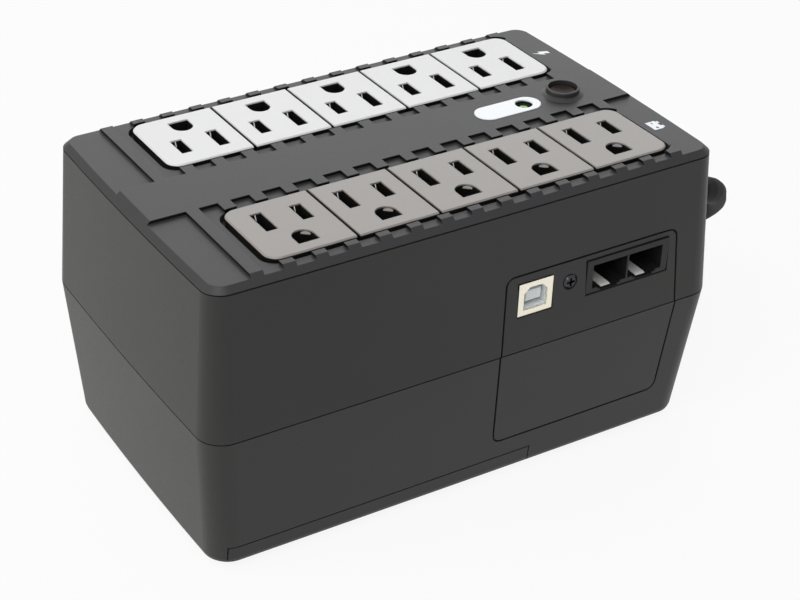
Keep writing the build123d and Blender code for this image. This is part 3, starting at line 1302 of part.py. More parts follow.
NODES = {
    "lower_housing": lower_housing,
    "upper_housing": upper_housing,
    "top_cover": top_cover,
    "battery_door": battery_door,
    "port_panel": port_panel,
    "panel_screw": panel_screw,
    "led_label_plate": led_label_plate,
    "status_led": status_led,
    "surge_outlet_strip": lambda: outlet_strip(1),
    "backup_outlet_strip": lambda: outlet_strip(-1),
    "surge_hot_bus": lambda: hot_bus(1),
    "surge_neutral_bus": lambda: neutral_bus(1),
    "surge_ground_bus": lambda: ground_bus(1),
    "backup_hot_bus": lambda: hot_bus(-1),
    "backup_neutral_bus": lambda: neutral_bus(-1),
    "backup_ground_bus": lambda: ground_bus(-1),
    "power_button": power_button,
    "switch_plunger": switch_plunger,
    "power_switch": power_switch,
    "switch_board": switch_board,
    "usb_shell": usb_shell,
    "usb_tongue": usb_tongue,
    "jack_housing": jack_housing,
    "jack_spring_left": lambda: jack_spring(0),
    "jack_spring_right": lambda: jack_spring(1),
    "main_board": main_board,
    "heat_sink": heat_sink,
    "large_capacitor": lambda: capacitor(LARGE_CAPACITOR),
    "small_capacitor": lambda: capacitor(SMALL_CAPACITOR),
    "charging_relay": lambda: relay(0),
    "transfer_relay": lambda: relay(1),
    "transformer_core": transformer_core,
    "transformer_winding": transformer_winding,
    "transformer_bracket": transformer_bracket,
    "battery": battery,
    "battery_terminal_negative": lambda: battery_terminal(-1),
    "battery_terminal_positive": lambda: battery_terminal(1),
    "housing_screw_front": lambda: housing_screw(-1),
    "housing_screw_back": lambda: housing_screw(1),
    "foot_front_right": lambda: foot(1, -1),
    "foot_back_right": lambda: foot(1, 1),
    "foot_front_left": lambda: foot(-1, -1),
    "foot_back_left": lambda: foot(-1, 1),
    "breaker_body": breaker_body,
    "breaker_button": breaker_button,
    "strain_relief": strain_relief,
    "line_cord": line_cord,
    "cord_coil": cord_coil,
    "plug_lead": plug_lead,
    "plug_body": plug_body,
    "plug_blade_hot": lambda: plug_blade(1),
    "plug_blade_neutral": lambda: plug_blade(-1),
    "plug_ground_pin": plug_ground_pin,
}

os.makedirs("parts", exist_ok=True)
for name, make in NODES.items():
    export_step(make(), f"parts/{name}.step")
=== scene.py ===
import json
import math

import bmesh
import bpy
from mathutils import Matrix, Vector


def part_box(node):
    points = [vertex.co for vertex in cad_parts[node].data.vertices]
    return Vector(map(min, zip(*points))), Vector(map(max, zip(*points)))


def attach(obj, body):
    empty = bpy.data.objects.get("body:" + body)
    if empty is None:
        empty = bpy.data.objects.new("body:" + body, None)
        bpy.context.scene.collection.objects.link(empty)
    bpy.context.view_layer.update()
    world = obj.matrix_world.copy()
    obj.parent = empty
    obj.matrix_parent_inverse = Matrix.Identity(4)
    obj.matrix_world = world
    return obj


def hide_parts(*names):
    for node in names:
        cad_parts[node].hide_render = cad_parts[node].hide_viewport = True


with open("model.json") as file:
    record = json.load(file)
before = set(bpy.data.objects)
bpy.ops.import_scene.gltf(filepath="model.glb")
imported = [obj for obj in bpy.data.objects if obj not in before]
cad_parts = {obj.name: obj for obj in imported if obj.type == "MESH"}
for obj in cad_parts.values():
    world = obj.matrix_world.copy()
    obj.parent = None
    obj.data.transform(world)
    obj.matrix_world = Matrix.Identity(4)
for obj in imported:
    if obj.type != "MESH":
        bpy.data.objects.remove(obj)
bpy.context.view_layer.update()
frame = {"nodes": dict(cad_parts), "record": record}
NODES = frame["nodes"]
MM = 0.001


def mm(*values):
    """Point given in millimetres, as metres."""
    return Vector([v * MM for v in values])


def linked_object(name, data):
    """New object in the scene that shows the given data."""
    thing = bpy.data.objects.new(name, data)
    bpy.context.scene.collection.objects.link(thing)
    return thing


# ---------------------------------------- sizes repeated from the part, in millimetres
OUTLET_ROW_X = 4.3
OUTLET_COUNT = 5
OUTLET_PITCH = 28.0
BLADE_LINE_Y = 27.0
BLADE_SPACING = 12.7
HOT_SLOT_LENGTH = 9.1
NEUTRAL_SLOT_LENGTH = 10.9
GROUND_CENTRE_Y = 39.5
GROUND_RADIUS = 3.55
STRIP_TOP = 103.7
FIELD = 102.55
# level under which the outlet strips are painted black, as painted shade
STRIP_SHADE_LEVEL = 103.2
RECESS_SHADE_LEVELS = (FIELD - 0.1, STRIP_TOP - 0.02)   # levels between which the cover's upright faces are painted nearly black, as painted shade
CORD_DIAMETER = 7.5
JACK_DEPTH_INSIDE = 12.5

# ---------------------------------------- camera
CAMERA_PLACE = (-285.38, -451.76, 380.9)
CAMERA_AZIMUTH = -28.361
CAMERA_ELEVATION = 32.379
CAMERA_ROLL = -0.302
CAMERA_LENS = 85.75
CAMERA_SHIFT_X = 0.1625
CAMERA_SHIFT_Y = 0.0046
CAMERA_SENSOR = 36.0     # width in millimetres
CAMERA_NEAR = 0.01       # metres


def add_camera():
    data = bpy.data.cameras.new("camera")
    camera = linked_object("camera", data)
    azimuth = math.radians(CAMERA_AZIMUTH)
    elevation = math.radians(CAMERA_ELEVATION)
    roll = math.radians(CAMERA_ROLL)
    back = Vector((math.sin(azimuth) * math.cos(elevation), -math.cos(azimuth) * math.cos(elevation),
                   math.sin(elevation)))
    level_right = (-back).cross(Vector((0, 0, 1))).normalized()
    level_up = level_right.cross(-back)
    right = math.cos(roll) * level_right + math.sin(roll) * level_up
    up = -math.sin(roll) * level_right + math.cos(roll) * level_up
    turned = Matrix((right, up, back)).transposed().to_4x4()
    camera.matrix_world = Matrix.Translation(mm(*CAMERA_PLACE)) @ turned
    data.lens = CAMERA_LENS
    data.sensor_width = CAMERA_SENSOR
    data.shift_x = CAMERA_SHIFT_X
    data.shift_y = CAMERA_SHIFT_Y
    data.clip_start = CAMERA_NEAR
    bpy.context.scene.camera = camera


# ---------------------------------------- light and floor
# Each lamp: name, place, the spot that it faces, width and height, all in metres, then watts and colour.
LAMPS = [
    ("key", (-0.63, -0.63, 1.12), (0, 0, 0.05), (1.2, 1.2), 12.5, (1, 1, 1)),
    ("top", (0.10, 0.30, 1.40), (0, 0, 0.05), (1.2, 1.2), 3.2, (1, 1, 1)),
    ("back", (0.75, 1.50, 0.95), (0, 0, 0.08), (2.2, 1.4), 12, (1, 1, 1)),
    ("left", (-1.40, 0.42, 0.58), (0, 0, 0.06), (1.0, 1.0), 10.0, (1.0, 0.94, 0.88)),
]
SKY_COLOUR = (0.93, 0.96, 1.0, 1)
WORLD_STRENGTH = 0.12
FLOOR_GREY = (0.86, 0.86, 0.86, 1)
FLOOR_SIZE = 6.0         # metres, as all sizes of the floor
FLOOR_DROP = 0.0002
FLOOR_WHITE_SHARE = 0.9
PATCH_DROP = 0.0001
PATCH_INSET = 0.014      # the base is narrower than the seam, and the patch stays under it


def add_area_light(name, place, target, size, power, colour):
    data = bpy.data.lights.new(name, "AREA")
    data.shape = "RECTANGLE"
    data.size = size[0]
    data.size_y = size[1]
    data.energy = power
    data.color = colour
    light = linked_object(name, data)
    light.location = Vector(place)
    light.rotation_euler = (Vector(target) - Vector(place)).to_track_quat("-Z", "Y").to_euler()


def add_math(nodes, links, operation, first, second):
    """Result of a math node; second is another node's output or a fixed number."""
    node = nodes.new("ShaderNodeMath")
    node.operation = operation
    links.new(first, node.inputs[0])
    if isinstance(second, float):
        node.inputs[1].default_value = second
    else:
        links.new(second, node.inputs[1])
    return node.outputs["Value"]


def plain_view(nodes, links):
    """1 for the rays that show the backdrop itself: camera, mirror and see-through ones."""
    path = nodes.new("ShaderNodeLightPath")
    seen = add_math(nodes, links, "MAXIMUM", path.outputs["Is Camera Ray"], path.outputs["Is Glossy Ray"])
    return add_math(nodes, links, "MAXIMUM", seen, path.outputs["Is Transmission Ray"])


def add_world():
    world = bpy.data.worlds.new("studio")
    bpy.context.scene.world = world
    world.use_nodes = True
    nodes = world.node_tree.nodes
    links = world.node_tree.links
    nodes.clear()
    output = nodes.new("ShaderNodeOutputWorld")
    seen = nodes.new("ShaderNodeBackground")
    seen.inputs["Strength"].default_value = 1.0
    lit = nodes.new("ShaderNodeBackground")
    lit.inputs["Color"].default_value = SKY_COLOUR
    lit.inputs["Strength"].default_value = WORLD_STRENGTH
    mix = nodes.new("ShaderNodeMixShader")
    links.new(plain_view(nodes, links), mix.inputs["Fac"])
    links.new(lit.outputs["Background"], mix.inputs[1])
    links.new(seen.outputs["Background"], mix.inputs[2])
    links.new(mix.outputs["Shader"], output.inputs["Surface"])


def add_floor():
    """White floor: seen as plain white by the camera, with the object's own soft shadow kept faint."""
    bpy.ops.mesh.primitive_plane_add(size=FLOOR_SIZE, location=(0, 0, -FLOOR_DROP))
    floor = bpy.context.object
    floor.name = "floor"
    material = bpy.data.materials.new("floor_white")
    material.use_nodes = True
    nodes = material.node_tree.nodes
    links = material.node_tree.links
    nodes.clear()
    output = nodes.new("ShaderNodeOutputMaterial")
    surface = nodes.new("ShaderNodeBsdfDiffuse")
    surface.inputs["Color"].default_value = FLOOR_GREY
    plain = nodes.new("ShaderNodeEmission")
    plain.inputs["Strength"].default_value = 1.0
    share = add_math(nodes, links, "MULTIPLY", plain_view(nodes, links), FLOOR_WHITE_SHARE)
    mix = nodes.new("ShaderNodeMixShader")
    links.new(share, mix.inputs["Fac"])
    links.new(surface.outputs["BSDF"], mix.inputs[1])
    links.new(plain.outputs["Emission"], mix.inputs[2])
    links.new(mix.outputs["Shader"], output.inputs["Surface"])
    floor.data.materials.append(material)


def add_floor_patch():
    """Shaded floor under the housing, seen only through the battery door's gap and beside the feet."""
    low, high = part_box("lower_housing")
    middle = ((low[0] + high[0]) / 2, (low[1] + high[1]) / 2, -PATCH_DROP)
    bpy.ops.mesh.primitive_plane_add(size=1.0, location=middle)
    patch = bpy.context.object
    patch.name = "floor_under_housing"
    patch.scale = (high[0] - low[0] - 2 * PATCH_INSET, high[1] - low[1] - 2 * PATCH_INSET, 1)
    material, _, _, shader = new_material("floor_shaded")
    shader.inputs["Base Color"].default_value = FLOOR_GREY
    shader.inputs["Roughness"].default_value = 1.0
    shader.inputs["Specular IOR Level"].default_value = 0.0
    patch.data.materials.append(material)


# ---------------------------------------- materials
# painted shade of the outlet strips, under their faces' level
STRIP_SHADE_BLACK = (0.006, 0.006, 0.006)
SHADE_BLEND = 0.05       # the painted shade fades in over this much to each side of its level, in millimetres
# painted shade on the upright faces of the cover's recesses
STEP_SHADE_BLACK = (0.001, 0.001, 0.001)
UPRIGHT = 0.35           # largest upward part of an upright face's normal
SHADE_SCALE = 22.0       # features per metre, as the scales below
LED_SCALE = 350.0
METAL_SCALE = 900.0
GLOSS_SPREAD = 0.05
GRAIN_DEPTH = 0.02       # millimetres
EDGE_SAMPLES = 4
METAL_DARK = 0.92        # share of the colour left in a metal's darker spots
METAL_GLOSS_BELOW = 0.06
METAL_GLOSS_ABOVE = 0.08
METAL_GRAIN = 0.1
METAL_GRAIN_DEPTH = 0.01


def new_material(name):
    material = bpy.data.materials.new(name)
    material.use_nodes = True
    shader = material.node_tree.nodes["Principled BSDF"]
    return material, material.node_tree.nodes, material.node_tree.links, shader


def add_noise(nodes, links, scale, detail=4.0, roughness=0.55):
    """Noise in the object's own coordinates; scale is in features per metre."""
    place = nodes.new("ShaderNodeTexCoord")
    noise = nodes.new("ShaderNodeTexNoise")
    noise.inputs["Scale"].default_value = scale
    noise.inputs["Detail"].default_value = detail
    noise.inputs["Roughness"].default_value = roughness
    links.new(place.outputs["Object"], noise.inputs["Vector"])
    return noise


def add_ramp(nodes, links, source, low, high, start=0.3, end=0.7):
    ramp = nodes.new("ShaderNodeValToRGB")
    ramp.color_ramp.elements[0].position = start
    ramp.color_ramp.elements[1].position = end
    ramp.color_ramp.elements[0].color = (*low, 1)
    ramp.color_ramp.elements[1].color = (*high, 1)
    links.new(source, ramp.inputs["Fac"])
    return ramp


def upward_part(nodes, links, source):
    split = nodes.new("ShaderNodeSeparateXYZ")
    links.new(source, split.inputs["Vector"])
    return split.outputs["Z"]


def upright_between(nodes, links, low, high):
    """1 on upright faces between two levels in millimetres, and 0 elsewhere."""
    surface = nodes.new("ShaderNodeNewGeometry")
    facing = upward_part(nodes, links, surface.outputs["True Normal"])
    place = nodes.new("ShaderNodeTexCoord")
    level = upward_part(nodes, links, place.outputs["Object"])
    inside = add_math(nodes, links, "LESS_THAN", facing, UPRIGHT)
    for operation, source, limit in (("GREATER_THAN", facing, -UPRIGHT),
                                     ("GREATER_THAN", level, low * MM),
                                     ("LESS_THAN", level, high * MM)):
        test = add_math(nodes, links, operation, source, limit)
        inside = add_math(nodes, links, "MULTIPLY", inside, test)
    return inside


def moulded_plastic(name, colour, roughness, grain=0.5, variation=0.06, grain_size=0.45, edge=0.35,
                    specular=0.5, shade_below=None, shaded_steps=None):
    """Moulded plastic: fine spark-eroded grain, faint shade variation, softly rounded edges.

    Under the level shade_below, in millimetres, it is painted black as painted shade, the way a strip looks
    round its face.
    Upright faces between the two levels of shaded_steps are painted nearly black, as painted shade, so that
    the edges of the recesses read as dark lines.
    """
    material, nodes, links, shader = new_material(name)
    broad = add_noise(nodes, links, SHADE_SCALE, 3.0)
    low = [c * (1 - variation) for c in colour]
    high = [c * (1 + variation) for c in colour]
    shade = add_ramp(nodes, links, broad.outputs["Fac"], low, high)
    links.new(shade.outputs["Color"], shader.inputs["Base Color"])
    # painted shade: black under the strip's face level
    if shade_below is not None:
        place = nodes.new("ShaderNodeTexCoord")
        level = nodes.new("ShaderNodeMapRange")
        level.inputs["From Min"].default_value = (shade_below - SHADE_BLEND) * MM
        level.inputs["From Max"].default_value = (shade_below + SHADE_BLEND) * MM
        links.new(upward_part(nodes, links, place.outputs["Object"]), level.inputs["Value"])
        strip_shade = nodes.new("ShaderNodeMix")
        strip_shade.data_type = "RGBA"
        strip_shade.inputs["A"].default_value = (*STRIP_SHADE_BLACK, 1)
        links.new(level.outputs["Result"], strip_shade.inputs["Factor"])
        links.new(shade.outputs["Color"], strip_shade.inputs["B"])
        links.new(strip_shade.outputs["Result"], shader.inputs["Base Color"])
    # painted shade: the upright faces of the recesses are nearly black
    if shaded_steps is not None:
        step = nodes.new("ShaderNodeMix")
        step.data_type = "RGBA"
        step.inputs["B"].default_value = (*STEP_SHADE_BLACK, 1)
        links.new(upright_between(nodes, links, *shaded_steps), step.inputs["Factor"])
        links.new(shade.outputs["Color"], step.inputs["A"])
        links.new(step.outputs["Result"], shader.inputs["Base Color"])
    fine = add_noise(nodes, links, 1.0 / (grain_size * MM), 2.0, 0.6)
    gloss = add_ramp(nodes, links, fine.outputs["Fac"], [roughness - GLOSS_SPREAD] * 3,
                     [roughness + GLOSS_SPREAD] * 3)
    links.new(gloss.outputs["Color"], shader.inputs["Roughness"])
    rounded = nodes.new("ShaderNodeBevel")
    rounded.samples = EDGE_SAMPLES
    rounded.inputs["Radius"].default_value = edge * MM
    bump = nodes.new("ShaderNodeBump")
    bump.inputs["Strength"].default_value = grain
    bump.inputs["Distance"].default_value = GRAIN_DEPTH * MM
    links.new(fine.outputs["Fac"], bump.inputs["Height"])
    links.new(rounded.outputs["Normal"], bump.inputs["Normal"])
    links.new(bump.outputs["Normal"], shader.inputs["Normal"])
    shader.inputs["Specular IOR Level"].default_value = specular
    return material


def metal(name, colour, roughness, brushed=0.0):
    """Metal with a fine grain; brushed adds to the grain's strength."""
    material, nodes, links, shader = new_material(name)
    shader.inputs["Metallic"].default_value = 1.0
    fine = add_noise(nodes, links, METAL_SCALE, 3.0)
    shade = add_ramp(nodes, links, fine.outputs["Fac"], [c * METAL_DARK for c in colour], colour)
    links.new(shade.outputs["Color"], shader.inputs["Base Color"])
    gloss = add_ramp(nodes, links, fine.outputs["Fac"], [roughness - METAL_GLOSS_BELOW] * 3,
                     [roughness + METAL_GLOSS_ABOVE] * 3)
    links.new(gloss.outputs["Color"], shader.inputs["Roughness"])
    bump = nodes.new("ShaderNodeBump")
    bump.inputs["Strength"].default_value = METAL_GRAIN + brushed
    bump.inputs["Distance"].default_value = METAL_GRAIN_DEPTH * MM
    links.new(fine.outputs["Fac"], bump.inputs["Height"])
    links.new(bump.outputs["Normal"], shader.inputs["Normal"])
    return material


def led_material():
    material, nodes, links, shader = new_material("led_green")
    broad = add_noise(nodes, links, LED_SCALE, 2.0)
    shade = add_ramp(nodes, links, broad.outputs["Fac"], (0.10, 0.26, 0.05), (0.20, 0.42, 0.11))
    links.new(shade.outputs["Color"], shader.inputs["Base Color"])
    shader.inputs["Roughness"].default_value = 0.12
    shader.inputs["Coat Weight"].default_value = 0.6
    shader.inputs["Emission Color"].default_value = (0.25, 0.75, 0.15, 1)
    shader.inputs["Emission Strength"].default_value = 0.08
    return material


def set_material(name, material):
    """Gives a CAD node's object one material on every slot."""
    data = NODES[name].data
    data.materials.clear()
    data.materials.append(material)


MATERIALS = {
    "charcoal": lambda: moulded_plastic("charcoal_plastic", (0.0245, 0.024, 0.0235), 0.44,
                                        grain=0.6, specular=0.32),
    # the cover's upright recess faces get painted shade, nearly black
    "cover_grey": lambda: moulded_plastic("cover_plastic", (0.028, 0.028, 0.030), 0.44,
                                          grain=0.6, specular=0.32,
                                          shaded_steps=RECESS_SHADE_LEVELS),
    # outlet strips: black under their faces' level, as painted shade
    "outlet_white": lambda: moulded_plastic("outlet_white", (0.76, 0.765, 0.77), 0.34,
                                            grain=0.15, variation=0.015, shade_below=STRIP_SHADE_LEVEL),
    "outlet_taupe": lambda: moulded_plastic("outlet_taupe", (0.30, 0.283, 0.267), 0.36,
                                            grain=0.15, variation=0.02, shade_below=STRIP_SHADE_LEVEL),
    "label_grey": lambda: moulded_plastic("label_grey", (0.93, 0.965, 1.0), 0.34, grain=0.1, variation=0.02),
    "black_plastic": lambda: moulded_plastic("black_plastic", (0.012, 0.012, 0.013), 0.42,
                                             grain=0.3, specular=0.3),
    "button_brown": lambda: moulded_plastic("button_brown", (0.017, 0.010, 0.008), 0.2,
                                            grain=0.02, variation=0.2, specular=0.05),
    "led_green": led_material,
    "contact_metal": lambda: metal("contact_metal", (0.70, 0.67, 0.60), 0.28),
    "plated_shell": lambda: metal("plated_shell", (0.90, 0.85, 0.72), 0.30),
    "usb_insulator": lambda: moulded_plastic("usb_insulator", (0.84, 0.875, 0.88), 0.35, grain=0.1),
    "screw_black": lambda: metal("screw_black", (0.055, 0.055, 0.06), 0.2),
    "board_green": lambda: moulded_plastic("board_green", (0.02, 0.10, 0.045), 0.35, grain=0.2),
    "aluminium": lambda: metal("aluminium", (0.72, 0.72, 0.74), 0.35, brushed=0.2),
    "component_black": lambda: moulded_plastic("component_black", (0.025, 0.025, 0.028), 0.35),
    "core_steel": lambda: metal("core_steel", (0.22, 0.22, 0.24), 0.45, brushed=0.3),
    "winding_tape": lambda: moulded_plastic("winding_tape", (0.62, 0.50, 0.12), 0.30, grain=0.2),
    "battery_grey": lambda: moulded_plastic("battery_grey", (0.08, 0.08, 0.09), 0.42),
    "rubber": lambda: moulded_plastic("rubber", (0.022, 0.022, 0.022), 0.75, grain=0.8),
    "cord_jacket": lambda: moulded_plastic("cord_jacket", (0.009, 0.009, 0.0095), 0.62,
                                           grain=0.3, specular=0.08),
    "brass": lambda: metal("brass", (0.80, 0.64, 0.34), 0.26),
}


# darker copies of the strips' colours, as painted shade inside the ground holes, with nothing black below
SHADED_FACETS = {
    "outlet_white": lambda: moulded_plastic("ramp_white_shaded", (0.62, 0.63, 0.64), 0.34,
                                            grain=0.15, variation=0.015),
    "outlet_taupe": lambda: moulded_plastic("ramp_taupe_shaded", (0.20, 0.19, 0.18), 0.36,
                                            grain=0.15, variation=0.02),
}


def dress_nodes():
    made = {}
    for part in frame["record"]["subparts"]:
        slot = part["material_slot"]
        if slot not in made:
            made[slot] = MATERIALS[slot]()
        set_material(part["node"], made[slot])
    return made


# ---------------------------------------- modelled pieces
def finished_mesh(name, mesh, material):
    """Turns a modelled mesh into a piece that rides on the enclosure."""
    bmesh.ops.recalc_face_normals(mesh, faces=mesh.faces)
    data = bpy.data.meshes.new(name)
    mesh.to_mesh(data)
    mesh.free()
    piece = linked_object(name, data)
    data.materials.append(material)
    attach(piece, "enclosure")
    return piece


# ---------------------------------------- springs of the twin jack
SPRING_FRONT = 0.9       # from the housing's front face
SPRING_BEND = 0.5
BEND_SHARE = 0.15        # front share of the leaf that bends down
SPRING_STEPS = 8


def jack_spring(node, material):
    """Plated leaf spring on the floor of a latch notch, its front end bent down at the mouth."""
    low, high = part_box(node)
    front = high[1] - JACK_DEPTH_INSIDE * MM + SPRING_FRONT * MM
    width = high[0] - low[0]
    middle = (low[0] + high[0]) / 2
    mesh = bmesh.new()
    rows = []
    for k in range(SPRING_STEPS + 1):
        share = k / SPRING_STEPS
        y = high[1] + (front - high[1]) * share
        drop = 0.0
        if share > 1 - BEND_SHARE:
            drop = SPRING_BEND * MM * ((share - (1 - BEND_SHARE)) / BEND_SHARE) ** 2
        rows.append([mesh.verts.new((middle + side * width / 2, y, z - drop))
                     for side, z in ((-1, low[2]), (1, low[2]), (1, high[2]), (-1, high[2]))])
    for near, far in zip(rows, rows[1:]):
        for k in range(4):
            mesh.faces.new((near[k], near[(k + 1) % 4], far[(k + 1) % 4], far[k]))
    mesh.faces.new(rows[0])
    mesh.faces.new(rows[-1])
    leaf = finished_mesh(node + "_leaf", mesh, material)
    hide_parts(node)


# ---------------------------------------- contact edges and lead-ins in the outlets' openings
EDGE_WIDTH = 0.3         # bright edge of a contact, at each end of a blade slot
EDGE_REACH = 0.8
EDGE_START = 0.3         # below the strip's top
EDGE_HEIGHT = 1.8
FACET_ANGLE = 40.0       # lead-in facet of a ground hole, turned from the row's Y toward its X
FACET_WIDTH = 3.6
FACET_FOOT = 2.8
FACET_REACH = 0.75
FACET_START = 0.45
FACET_HEIGHT = 0.9
WALL_BITE = 0.15         # how far each is sunk into its wall
BLADE_SLOTS = ((-BLADE_SPACING / 2, HOT_SLOT_LENGTH), (BLADE_SPACING / 2, NEUTRAL_SLOT_LENGTH))


def add_wedge(mesh, side, wall, inward, widths, depths, reach):
    """Closed wedge on a wall point, its foot leaning along the unit vector inward.

    Widths and depths hold the value at the top and at the foot; side -1 turns it with the front row.
    """
    across = (-inward[1], inward[0])
    high = STRIP_TOP - depths[0]
    low = STRIP_TOP - depths[1]

    def corner(along, sideways, z):
        x = wall[0] + inward[0] * along + across[0] * sideways
        y = wall[1] + inward[1] * along + across[1] * sideways
        if side < 0:
            x, y = 2 * OUTLET_ROW_X - x, -y
        return mesh.verts.new(mm(x, y, z))

    top, foot = widths[0] / 2, widths[1] / 2
    spots = [corner(-WALL_BITE, -top, high), corner(-WALL_BITE, top, high),
             corner(-WALL_BITE, foot, low), corner(-WALL_BITE, -foot, low),
             corner(reach, -foot, low), corner(reach, foot, low)]
    for loop in ((0, 1, 2, 3), (0, 1, 5, 4), (3, 2, 5, 4), (0, 3, 4), (1, 2, 5)):
        mesh.faces.new([spots[k] for k in loop])


def outlet_places():
    """X of the outlets of a row, in millimetres."""
    return [OUTLET_ROW_X + (k - (OUTLET_COUNT - 1) / 2) * OUTLET_PITCH for k in range(OUTLET_COUNT)]


def contact_edges(name, side):
    """Bright edges of the contacts, at both ends of every blade slot of one row."""
    mesh = bmesh.new()
    for x in outlet_places():
        for offset, length in BLADE_SLOTS:
            for end in (-1, 1):
                wall = (x + offset, BLADE_LINE_Y + end * length / 2)
                add_wedge(mesh, side, wall, (0, -end), (EDGE_WIDTH, EDGE_WIDTH),
                          (EDGE_START, EDGE_START + EDGE_HEIGHT), EDGE_REACH)
    finished_mesh(name, mesh, metal("contact_edge", (0.80, 0.78, 0.72), 0.3))


def ground_lead_ins(name, side, slot):
    """One sloped facet on the domed side of every ground hole of one row, in a darker copy of the row's
    colour as painted shade.
    """
    mesh = bmesh.new()
    turn = math.radians(FACET_ANGLE)
    for x in outlet_places():
        inward = (math.sin(turn), math.cos(turn))
        wall = (x - inward[0] * GROUND_RADIUS, GROUND_CENTRE_Y - inward[1] * GROUND_RADIUS)
        add_wedge(mesh, side, wall, inward, (FACET_WIDTH, FACET_FOOT),
                  (FACET_START, FACET_START + FACET_HEIGHT), FACET_REACH)
    finished_mesh(name, mesh, SHADED_FACETS[slot]())


# ---------------------------------------- printed marks at the cover's right end
MARK_THICKNESS = 0.05
MARK_TURN = -90          # degrees; the upper side of each mark points to the right end
BOLT_PLACE = (81.4, 30.7)
BOLT_OUTLINE = [(-0.3, 2.8), (-1.5, -0.5), (-0.2, -0.5), (-1.1, -3.0), (1.8, 0.7), (0.6, 0.7), (1.5, 2.8)]
BATTERY_PLACE = (81.3, -31.6)
BATTERY_SIZE = (5.4, 3.6)
TERMINAL_SIZE = (1.3, 0.9)
SIGN_LENGTH = 1.1
SIGN_WIDTH = 0.3
TERMINAL_SHARE = 0.55


def flat_mark(name, outlines, place, material, level=0.0):
    """Thin printed shape on the cover, level mm over its field: closed outlines in millimetres."""
    mesh = bmesh.new()
    turn = math.radians(MARK_TURN)
    for outline in outlines:
        spots = []
        for x, y in outline:
            across = x * math.cos(turn) - y * math.sin(turn)
            along = x * math.sin(turn) + y * math.cos(turn)
            spots.append(mesh.verts.new(mm(place[0] + across, place[1] + along, FIELD + level)))
        face = mesh.faces.new(spots)
        raised = bmesh.ops.extrude_face_region(mesh, geom=[face])
        lifted = [item for item in raised["geom"] if isinstance(item, bmesh.types.BMVert)]
        bmesh.ops.translate(mesh, verts=lifted, vec=(0, 0, MARK_THICKNESS * MM))
    finished_mesh(name, mesh, material)


def box_outline(x0, x1, y0, y1):
    return [(x0, y0), (x1, y0), (x1, y1), (x0, y1)]


def battery_outlines():
    """Filled case with two rectangular terminals on its upper side."""
    half_x = BATTERY_SIZE[0] / 2
    half_y = BATTERY_SIZE[1] / 2
    outlines = [box_outline(-half_x, half_x, -half_y, half_y)]
    for side in (-1, 1):
        x = side * half_x * TERMINAL_SHARE
        outlines.append(box_outline(x - TERMINAL_SIZE[0] / 2, x + TERMINAL_SIZE[0] / 2, half_y,
                                    half_y + TERMINAL_SIZE[1]))
    return outlines


def sign_outlines():
    """A minus and a plus, printed over the case."""
    x = BATTERY_SIZE[0] / 2 * TERMINAL_SHARE
    half = SIGN_LENGTH / 2
    thin = SIGN_WIDTH / 2
    return [box_outline(-x - half, -x + half, -thin, thin), box_outline(x - half, x + half, -thin, thin),
            box_outline(x - thin, x + thin, thin, half), box_outline(x - thin, x + thin, -half, -thin)]


# ---------------------------------------- cord
CORD_ROUNDNESS = 6
CORD_STEPS = 6           # pieces of the curve between two points
FLOOR_LINE = 3.8         # height of the cord's centre where it lies on the floor
LEAD_POINTS = [(143.5, 6.5, 36.2), (142.9, 20.2, 23.7), (135.3, 33.3, 13.0), (121.7, 43.8, 5.5)]
LEAD_POINTS += [(103.7, 51.9, FLOOR_LINE), (84.0, 59.4, FLOOR_LINE), (63.5, 66.2, FLOOR_LINE)]
PLUG_LEAD_POINTS = [(59.3, 179.5, 10.0), (73.9, 173.0, 8.6), (86.2, 162.7, 9.4)]
BOOT_TIP = (126.67, -14.1, 57.61)
BOOT_TIP_DIRECTION = (0.6428, 0.5126, -0.5693)
FIRST_RUN = 17.0
LAST_RUN = 16.0
COIL_X = 20.0
COIL_Y = 122.0
COIL_FIRST_RADIUS = 51.5
COIL_PITCH = 8.2
COIL_LAYER_STEP = 8.2
COIL_HALF_TURNS = 5
COIL_STEPS = 8           # points of the spline on each half turn
PLUG_FACE = (111.1, 100.0, 13.1)
PLUG_HEADING_DEGREES = -72.0
PLUG_LENGTH = 36.0


def coil_points():
    """Half turns in on the lower layer, a climb, and out again on the upper layer."""
    inward = [COIL_FIRST_RADIUS - COIL_PITCH / 2 * k for k in range(COIL_HALF_TURNS)]
    radii = inward + [inward[-1] - COIL_PITCH / 2] + inward[::-1]
    y = COIL_Y - COIL_FIRST_RADIUS
    z = FLOOR_LINE
    side = -1
    points = [(COIL_X + CORD_DIAMETER, y, z)]
    for k, radius in enumerate(radii):
        direction = 1 if k % 2 == 0 else -1
        middle = y + direction * radius
        rise = COIL_LAYER_STEP if k == COIL_HALF_TURNS else 0.0
        for step in range(COIL_STEPS):
            turned = math.pi * (step + 0.5) / COIL_STEPS
            spread = radius / math.cos(math.pi / COIL_STEPS / 2)
            height = z + rise * (1 - math.cos(turned)) / 2
            points.append((COIL_X + side * spread * math.sin(turned),
                           middle - direction * spread * math.cos(turned), height))
        y += 2 * direction * radius
        z += rise
        side = -side
    points.append((COIL_X + CORD_DIAMETER, y, z))
    return points


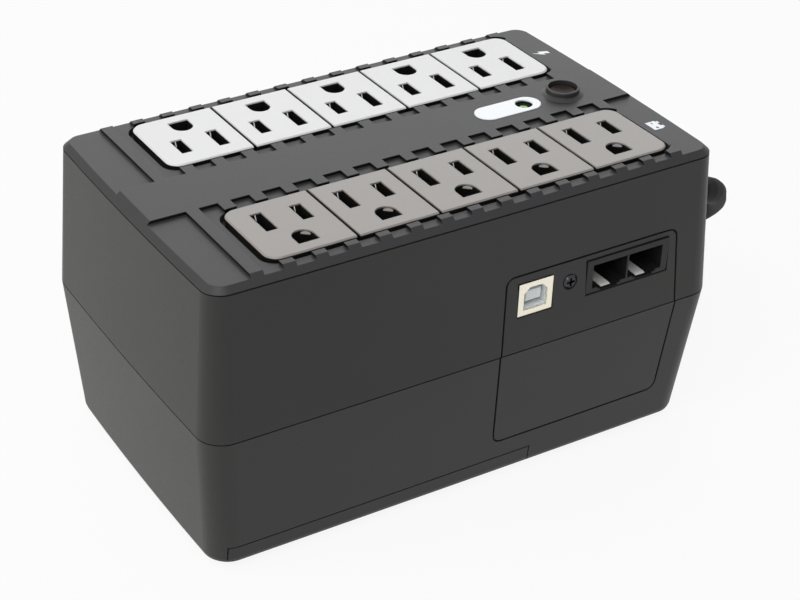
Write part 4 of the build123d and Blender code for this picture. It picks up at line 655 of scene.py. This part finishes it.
def cord_points():
    """The cord's route from the strain relief through the coil to the plug, in metres."""
    tip = Vector(BOOT_TIP)
    first = tip + Vector(BOOT_TIP_DIRECTION) * FIRST_RUN
    coil = coil_points()
    start = coil[0]
    end = coil[-1]
    heading = math.radians(PLUG_HEADING_DEGREES)
    along = Vector((math.cos(heading), math.sin(heading), 0))
    back = Vector(PLUG_FACE) - along * PLUG_LENGTH
    points = [tip, first] + LEAD_POINTS
    points += [(start[0] + LAST_RUN, start[1], start[2])] + coil
    points += [(end[0] + LAST_RUN, end[1], end[2])] + PLUG_LEAD_POINTS
    points += [back - along * LAST_RUN, back]
    return [Vector(p) * MM for p in points]


def add_cord(material):
    points = cord_points()
    curve = bpy.data.curves.new("power_cord", "CURVE")
    curve.dimensions = "3D"
    curve.bevel_depth = CORD_DIAMETER / 2 * MM
    curve.bevel_resolution = CORD_ROUNDNESS
    curve.resolution_u = CORD_STEPS
    curve.use_fill_caps = True
    spline = curve.splines.new("NURBS")
    spline.points.add(len(points) - 1)
    for spot, point in zip(spline.points, points):
        spot.co = (*point, 1)
    spline.order_u = 3
    spline.use_endpoint_u = True
    spline.use_smooth = True
    curve.materials.append(material)
    cord = linked_object("power_cord", curve)
    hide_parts("line_cord", "cord_coil", "plug_lead")
    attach(cord, "enclosure")


# ---------------------------------------- the scene
add_camera()
add_world()
add_floor()
add_floor_patch()
for lamp in LAMPS:
    add_area_light(*lamp)
made = dress_nodes()
plug_rubber = moulded_plastic("plug_rubber", (0.010, 0.010, 0.0105), 0.5, edge=2.0, specular=0.2)
set_material("plug_body", plug_rubber)
contact_edges("surge_contact_edges", 1)
contact_edges("backup_contact_edges", -1)
ground_lead_ins("surge_lead_ins", 1, "outlet_white")
ground_lead_ins("backup_lead_ins", -1, "outlet_taupe")
flat_mark("bolt_mark", [BOLT_OUTLINE], BOLT_PLACE, made["label_grey"])
flat_mark("battery_mark", battery_outlines(), BATTERY_PLACE, made["label_grey"])
flat_mark("battery_signs", sign_outlines(), BATTERY_PLACE, made["cover_grey"], MARK_THICKNESS)
# The springs' plated metal is given as a near-white non-metal: its own pale colour, lighter still as a
# painted reflection.
bright = moulded_plastic("tin_plate_and_reflection", (0.92, 0.90, 0.87), 0.38, grain=0.05, variation=0.05, specular=0.8)
for node in ("jack_spring_left", "jack_spring_right"):
    jack_spring(node, bright)
add_cord(made["cord_jacket"])

bpy.context.scene.view_settings.view_transform = "Standard"
